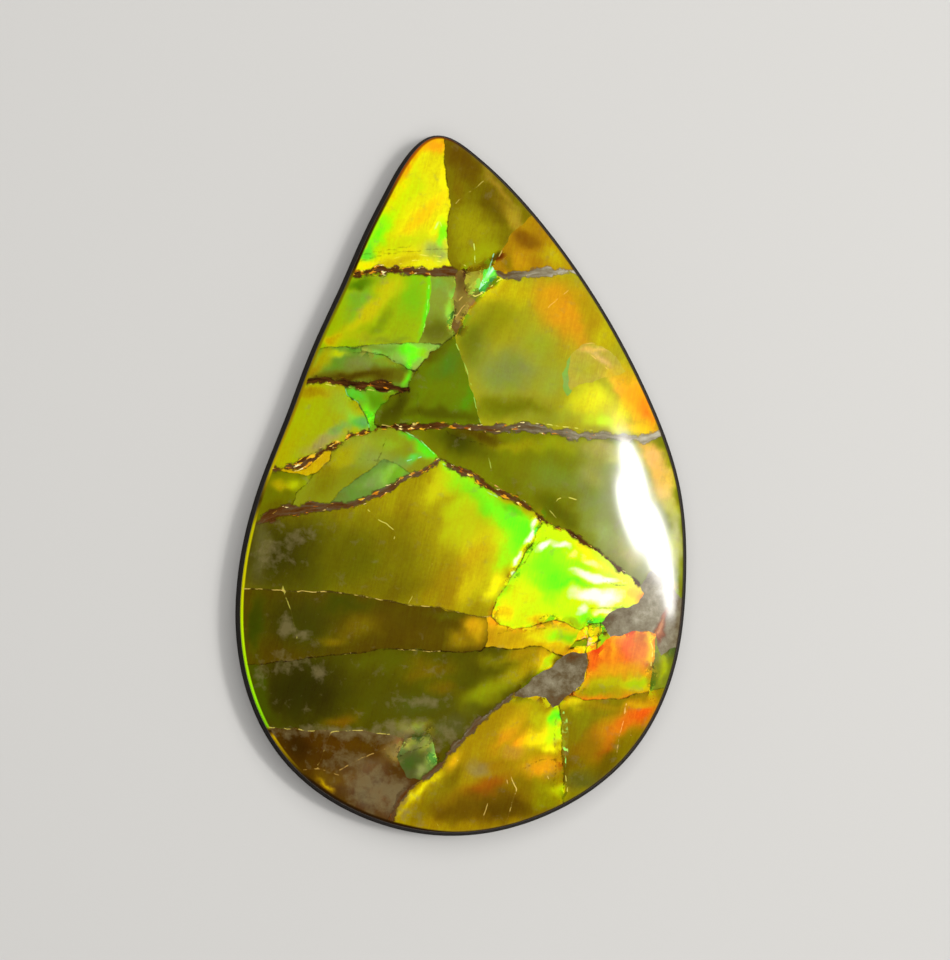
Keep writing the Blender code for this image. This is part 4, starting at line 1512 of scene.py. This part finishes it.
def nacre_material():
    """Aragonite nacre under a hard polish.

    Each shard flashes clean spectral colour that drifts softly across it, its brightness partly painted
    light, the shell beside the worst cracks is crushed to bits that glitter with painted sparkle, and
    the mended cracks are dull brown to grey rock with threads of gold.
    """
    material, tree, shader = blank_material("polished_nacre")
    mm = in_mm(tree)
    hue, glow, milk_and_glare = carried(tree, "flash")
    tone, gold, crush = carried(tree, "broken")

    # A fine crystal grain of 0.2 mm, and facets of about 0.5 mm, each with three random numbers
    grain = add(tree, "TexNoise", Vector=mm, Scale=5.0, Detail=3.0, Roughness=0.65)
    grain = add(tree, "Math", grain, 0.5, operation="SUBTRACT")
    bent = add(tree, "VectorMath", (1.3, 1.3, 0.0), grain, mm, operation="MULTIPLY_ADD")
    bits = add(tree, "TexVoronoi", Vector=bent, Scale=1.9, Randomness=1.0, out="Color")
    bits = add(tree, "SeparateXYZ", bits).node.outputs

    colour, held = shell_flash(tree, mm, grain, bits, crush, hue, glow)
    colour = clouded(tree, mm, colour, held, milk_and_glare)
    colour, dark = hairlined(tree, mm, colour, grain)
    colour, filled = filled_with_rock(tree, mm, colour, grain, bits, tone, gold, glow)
    colour, inset = rimmed(tree, colour)
    tree.links.new(colour, shader.inputs["Base Color"])

    # A hard polish, with the rock a little sunken and duller, and none on the rim's rounding
    relief = add(tree, "Math", filled, -1.0, operation="MULTIPLY")
    relief = add(tree, "Math", dark, -1.0, relief, operation="MULTIPLY_ADD")
    normal = add(tree, "Bump", Strength=0.3, Distance=0.02 * MM, Height=relief)
    tree.links.new(normal, shader.inputs["Normal"])
    coat = add(tree, "MapRange", filled, 0.0, 1.0, 1.0, 0.6)
    dull = add(tree, "MapRange", inset, -0.01, 0.03, 0.1, 1.0)
    coat = add(tree, "Math", coat, dull, operation="MULTIPLY")
    tree.links.new(coat, shader.inputs["Coat Weight"])
    shader.inputs["Roughness"].default_value = 0.6
    shader.inputs["Specular IOR Level"].default_value = 0.0
    shader.inputs["Coat Roughness"].default_value = 0.08
    shader.inputs["Coat IOR"].default_value = 1.53
    return material


def shale_material():
    """Black-brown shale, sawn and ground: fine bedding, with the shell's brown edge on top."""
    material, tree, shader = blank_material("ground_shale")
    mm = in_mm(tree)
    bedding = add(tree, "Mapping", mm, None, None, (0.35, 0.35, 7.0))
    bedding = add(tree, "TexNoise", Vector=bedding, Scale=1.0, Detail=5.0, Roughness=0.65)
    speck = add(tree, "TexNoise", Vector=mm, Scale=11.0, Detail=2.0, Roughness=0.6)
    shade = add(tree, "Math", speck, 0.35, bedding, operation="MULTIPLY_ADD")
    colour = add(tree, "ValToRGB", shade, ramp=(
        (0.35, "#0A0807"),
        (0.62, "#17120D"),
        (0.85, "#2C231A"),
    ))
    height = add(tree, "SeparateXYZ", mm, out="Z")
    wavy = add(tree, "Math", bedding, 0.35, height, operation="MULTIPLY_ADD")
    shell = add(tree, "MapRange", wavy, 2.86, 2.95, 0.0, 1.0)
    layers = add(tree, "Mapping", mm, None, None, (0.8, 0.8, 20.0))
    layers = add(tree, "TexNoise", Vector=layers, Scale=1.0, Detail=3.0, Roughness=0.6)
    shell_colour = add(tree, "ValToRGB", layers, ramp=(
        (0.35, "#1E1004"),
        (0.52, "#3E2808"),
        (0.68, "#6A4C12"),
    ))
    colour = add(tree, "MixRGB", shell, colour, shell_colour)
    tree.links.new(colour, shader.inputs["Base Color"])
    normal = add(tree, "Bump", Strength=0.5, Distance=0.03 * MM, Height=shade)
    tree.links.new(normal, shader.inputs["Normal"])
    roughness = add(tree, "MapRange", shell, 0.0, 1.0, 0.7, 0.4)
    tree.links.new(roughness, shader.inputs["Roughness"])
    shader.inputs["Specular IOR Level"].default_value = 0.03
    return material


def lapped_back_material():
    """The ground back: the same shale with fine scratches from the lap, quite matt."""
    material, tree, shader = blank_material("lapped_back")
    mm = in_mm(tree)
    patch = add(tree, "TexNoise", Vector=mm, Scale=0.35, Detail=5.0, Roughness=0.6)
    scratch = add(tree, "Mapping", mm, None, (0, 0, math.radians(31)), (0.3, 9.0, 1.0))
    scratch = add(tree, "TexNoise", Vector=scratch, Scale=1.0, Detail=3.0, Roughness=0.7)
    shade = add(tree, "Math", scratch, 0.35, patch, operation="MULTIPLY_ADD")
    colour = add(tree, "ValToRGB", shade, ramp=(
        (0.45, "#1C1712"),
        (0.68, "#332A20"),
        (0.92, "#4E4232"),
    ))
    tree.links.new(colour, shader.inputs["Base Color"])
    normal = add(tree, "Bump", Strength=0.4, Distance=0.02 * MM, Height=shade)
    tree.links.new(normal, shader.inputs["Normal"])
    shader.inputs["Roughness"].default_value = 0.7
    return material


def card_material():
    """Matt pale card for the floor."""
    material, _, shader = blank_material("pale_card")
    shader.inputs["Base Color"].default_value = linear("#C0BEBA")
    shader.inputs["Roughness"].default_value = 0.9
    return material


# The stone


def wall_rings():
    """(distance out from the face's edge, height) down the rim, the wall and the chamfer, in mm."""
    rings = []
    for angle in np.linspace(EDGE_SLOPE, math.pi / 2 - WALL_LEAN, RIM_ROWS + 1)[1:]:
        out = RIM_RADIUS_MM * (math.sin(angle) - math.sin(EDGE_SLOPE))
        fall = RIM_RADIUS_MM * (math.cos(EDGE_SLOPE) - math.cos(angle))
        rings.append((out, RIM_HEIGHT_MM - fall))
    top_out, top_height = rings[-1]
    for share in np.linspace(0, 1, WALL_ROWS + 1)[1:]:
        out = top_out + (WALL_FOOT_MM - top_out) * share
        rings.append((out, top_height + (BASE_CHAMFER_MM - top_height) * share))
    rings.append((WALL_FOOT_MM - BASE_CHAMFER_MM, 0.0))
    return rings


def draw_wall(stone, edge):
    """Extrudes the face's boundary down round the rim and the leaning wall, and fills the back."""
    mesh = stone.data
    bpy.ops.object.mode_set(mode="EDIT")
    bpy.ops.mesh.select_mode(type="EDGE")
    bpy.ops.mesh.select_all(action="DESELECT")
    bpy.ops.mesh.select_non_manifold(extend=False, use_wire=False, use_multi_face=False, use_verts=False)
    bpy.ops.object.mode_set(mode="OBJECT")
    chosen = read(mesh.vertices, "select", bool)
    base = read(mesh.vertices, "co", float, 3)[chosen][:, :2] / MM
    towards = outward(edge)[nearest(neighbours(edge), base)[0]]
    ring = base
    for out, height in wall_rings():
        bpy.ops.object.mode_set(mode="EDIT")
        bpy.ops.mesh.extrude_edges_indiv()
        bpy.ops.object.mode_set(mode="OBJECT")
        places = read(mesh.vertices, "co", float, 3)
        chosen = read(mesh.vertices, "select", bool)
        origin = nearest(neighbours(ring), places[chosen][:, :2] / MM)[0]
        ring = base + towards * out
        places[chosen, :2] = ring[origin] * MM
        places[chosen, 2] = height * MM
        mesh.vertices.foreach_set("co", places.ravel())
    mesh.update()
    bpy.ops.object.mode_set(mode="EDIT")
    bpy.ops.mesh.edge_face_add()
    bpy.ops.mesh.select_all(action="SELECT")
    bpy.ops.mesh.normals_make_consistent(inside=False)
    bpy.ops.mesh.select_all(action="DESELECT")
    bpy.ops.object.mode_set(mode="OBJECT")


def paint_shards(mesh, shard, centres):
    """Gives each corner of each face the flashes of the shard that the face belongs to."""
    middles = read(mesh.polygons, "center", float, 3)[:, :2] / MM
    face_shard = shard[nearest(neighbours(centres), middles)[0]]
    corner_shard = np.repeat(face_shard, read(mesh.polygons, "loop_total", int))
    flat = read(mesh.vertices, "co", float, 3)[:, :2] / MM
    pixels = to_photo(flat)[read(mesh.loops, "vertex_index", int)]
    looks = np.zeros((len(pixels), 4))
    for number, facts in enumerate(SHARDS.values()):
        mine = corner_shard == number
        looks[mine] = flashes_at(pixels[mine], facts)
    give(mesh, "flash", looks[:, :3], "CORNER")
    give(mesh, "rock", looks[:, 3], "CORNER")


def paint_lines(mesh, edge, hair_sets):
    """Gives each point its place against the veins, cracks, smudges and rim."""
    flat = read(mesh.vertices, "co", float, 3)[:, :2] / MM
    veins = vein_fields(flat)
    give(mesh, "vein", veins[:, :3])
    give(mesh, "broken", np.column_stack([veins[:, 3:], crush_field(flat)]))
    give(mesh, "smudge", smudge_field(flat))
    for name, hairs in hair_sets.items():
        give(mesh, name, line_fields(flat, hairs))
    give(mesh, "edge", rim_fields(flat, edge))


def give_materials(mesh):
    """Polished shell on the face and the rim, shale on the wall, and the lapped back and chamfer."""
    height = read(mesh.polygons, "center", float, 3)[:, 2] / MM
    slots = np.zeros(len(height), np.int32)
    slots[height < SHALE_BELOW_MM] = 1
    slots[height < BACK_BELOW_MM] = 2
    mesh.polygons.foreach_set("material_index", slots)
    for material in (nacre_material(), shale_material(), lapped_back_material()):
        mesh.materials.append(material)


def make_stone():
    """The polished stone: cut face, rim, wall and back in one closed mesh."""
    edge = face_edge()
    # A dark line shows no hue, so it is given any
    dark = hairline_routes([(strength, "amber", route) for strength, route in DARK_LINES])
    light = hairline_routes(LIGHT_LINES)
    rim_line = edge - outward(edge) * RIM_LINE_MM
    hairs = [route for _, _, route in light] + [np.vstack([rim_line, rim_line[:1]])]
    cracks = [route[:, :2] for route in CRACKS.values()]
    corners, faces, barriers = triangulate(edge, cracks, hairs)
    heights = dome_height(share_of_reach(corners, edge))
    mesh = bpy.data.meshes.new("polished_ammolite")
    mesh.from_pydata(np.column_stack([corners, heights]) * MM, [], faces.tolist())
    stone = bpy.data.objects.new("polished_ammolite", mesh)
    bpy.context.scene.collection.objects.link(stone)
    bpy.ops.object.select_all(action="DESELECT")
    stone.select_set(True)
    bpy.context.view_layer.objects.active = stone
    draw_wall(stone, edge)
    paint_shards(mesh, shards_of(corners, faces, barriers), corners[faces].mean(axis=1))
    paint_lines(mesh, edge, {"dark_line": dark, "light_line": light})
    give_materials(mesh)
    bpy.ops.object.shade_smooth_by_angle(angle=CREASE_ANGLE)
    return stone


# The studio


def add_lamp(name, shape, size_mm, place_mm, facing, watts, glossy=True):
    """An area light of a shape and size at a place, turned as facing says."""
    lamp = bpy.data.lights.new(name, "AREA")
    lamp.shape = shape
    lamp.size = size_mm[0] * MM
    lamp.size_y = size_mm[1] * MM
    lamp.energy = watts
    holder = bpy.data.objects.new(name, lamp)
    holder.location = Vector(place_mm) * MM
    holder.rotation_euler = facing
    holder.visible_glossy = glossy
    bpy.context.scene.collection.objects.link(holder)


def set_studio():
    """Plain floor, soft light from overhead and a group of ovals that the polish mirrors."""
    bpy.ops.mesh.primitive_plane_add(size=FLOOR_SIZE, location=(0, 0, 0))
    floor = bpy.context.active_object
    floor.name = "floor"
    floor.data.materials.append(card_material())

    world = bpy.data.worlds.new("soft_room")
    world.use_nodes = True
    tree = world.node_tree
    towards = add(tree, "TexCoord", out="Generated")
    up = add(tree, "SeparateXYZ", towards, out="Z")
    sky = add(tree, "ValToRGB", up, ramp=(
        (0.0, "#B4B6BA"),
        (0.45, "#8A8C90"),
        (0.85, "#101114"),
    ))
    tree.links.new(sky, tree.nodes["Background"].inputs["Color"])
    tree.nodes["Background"].inputs["Strength"].default_value = SKY_STRENGTH
    bpy.context.scene.world = world

    facing = (-Vector(OVERHEAD_PLACE_MM) * MM).to_track_quat("-Z", "Y").to_euler()
    add_lamp(
        "overhead", "RECTANGLE", OVERHEAD_SIZE_MM, OVERHEAD_PLACE_MM, facing, OVERHEAD_WATTS, glossy=False
    )
    for name, size, turn, place, watts in WINDOWS:
        facing = (0, 0, math.radians(turn))
        add_lamp(name, "ELLIPSE", size, (*place, WINDOW_HEIGHT_MM), facing, watts)


def set_camera():
    """Looks almost straight down, as the photograph does, from a little to the lower left."""
    camera = bpy.data.cameras.new("camera")
    camera.lens = LENS_MM
    camera.sensor_width = SENSOR_MM
    camera.clip_start = CLIP_START
    holder = bpy.data.objects.new("camera", camera)
    aim = Vector((*to_part(PHOTO_CENTRE), FACE_LEVEL_MM)) * MM
    holder.location = aim + Vector(CAMERA_OFFSET_MM) * MM
    back = (holder.location - aim).normalized()
    right = Vector((0, 1, 0)).cross(back).normalized()
    holder.rotation_euler = Matrix((right, back.cross(right), back)).transposed().to_euler()
    bpy.context.scene.collection.objects.link(holder)
    bpy.context.scene.camera = holder
    bpy.context.scene.view_settings.view_transform = "Standard"


CRACKS = crack_routes()
ammolite = make_stone()
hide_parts("ammolite_stone")
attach(ammolite, "root")
set_studio()
set_camera()
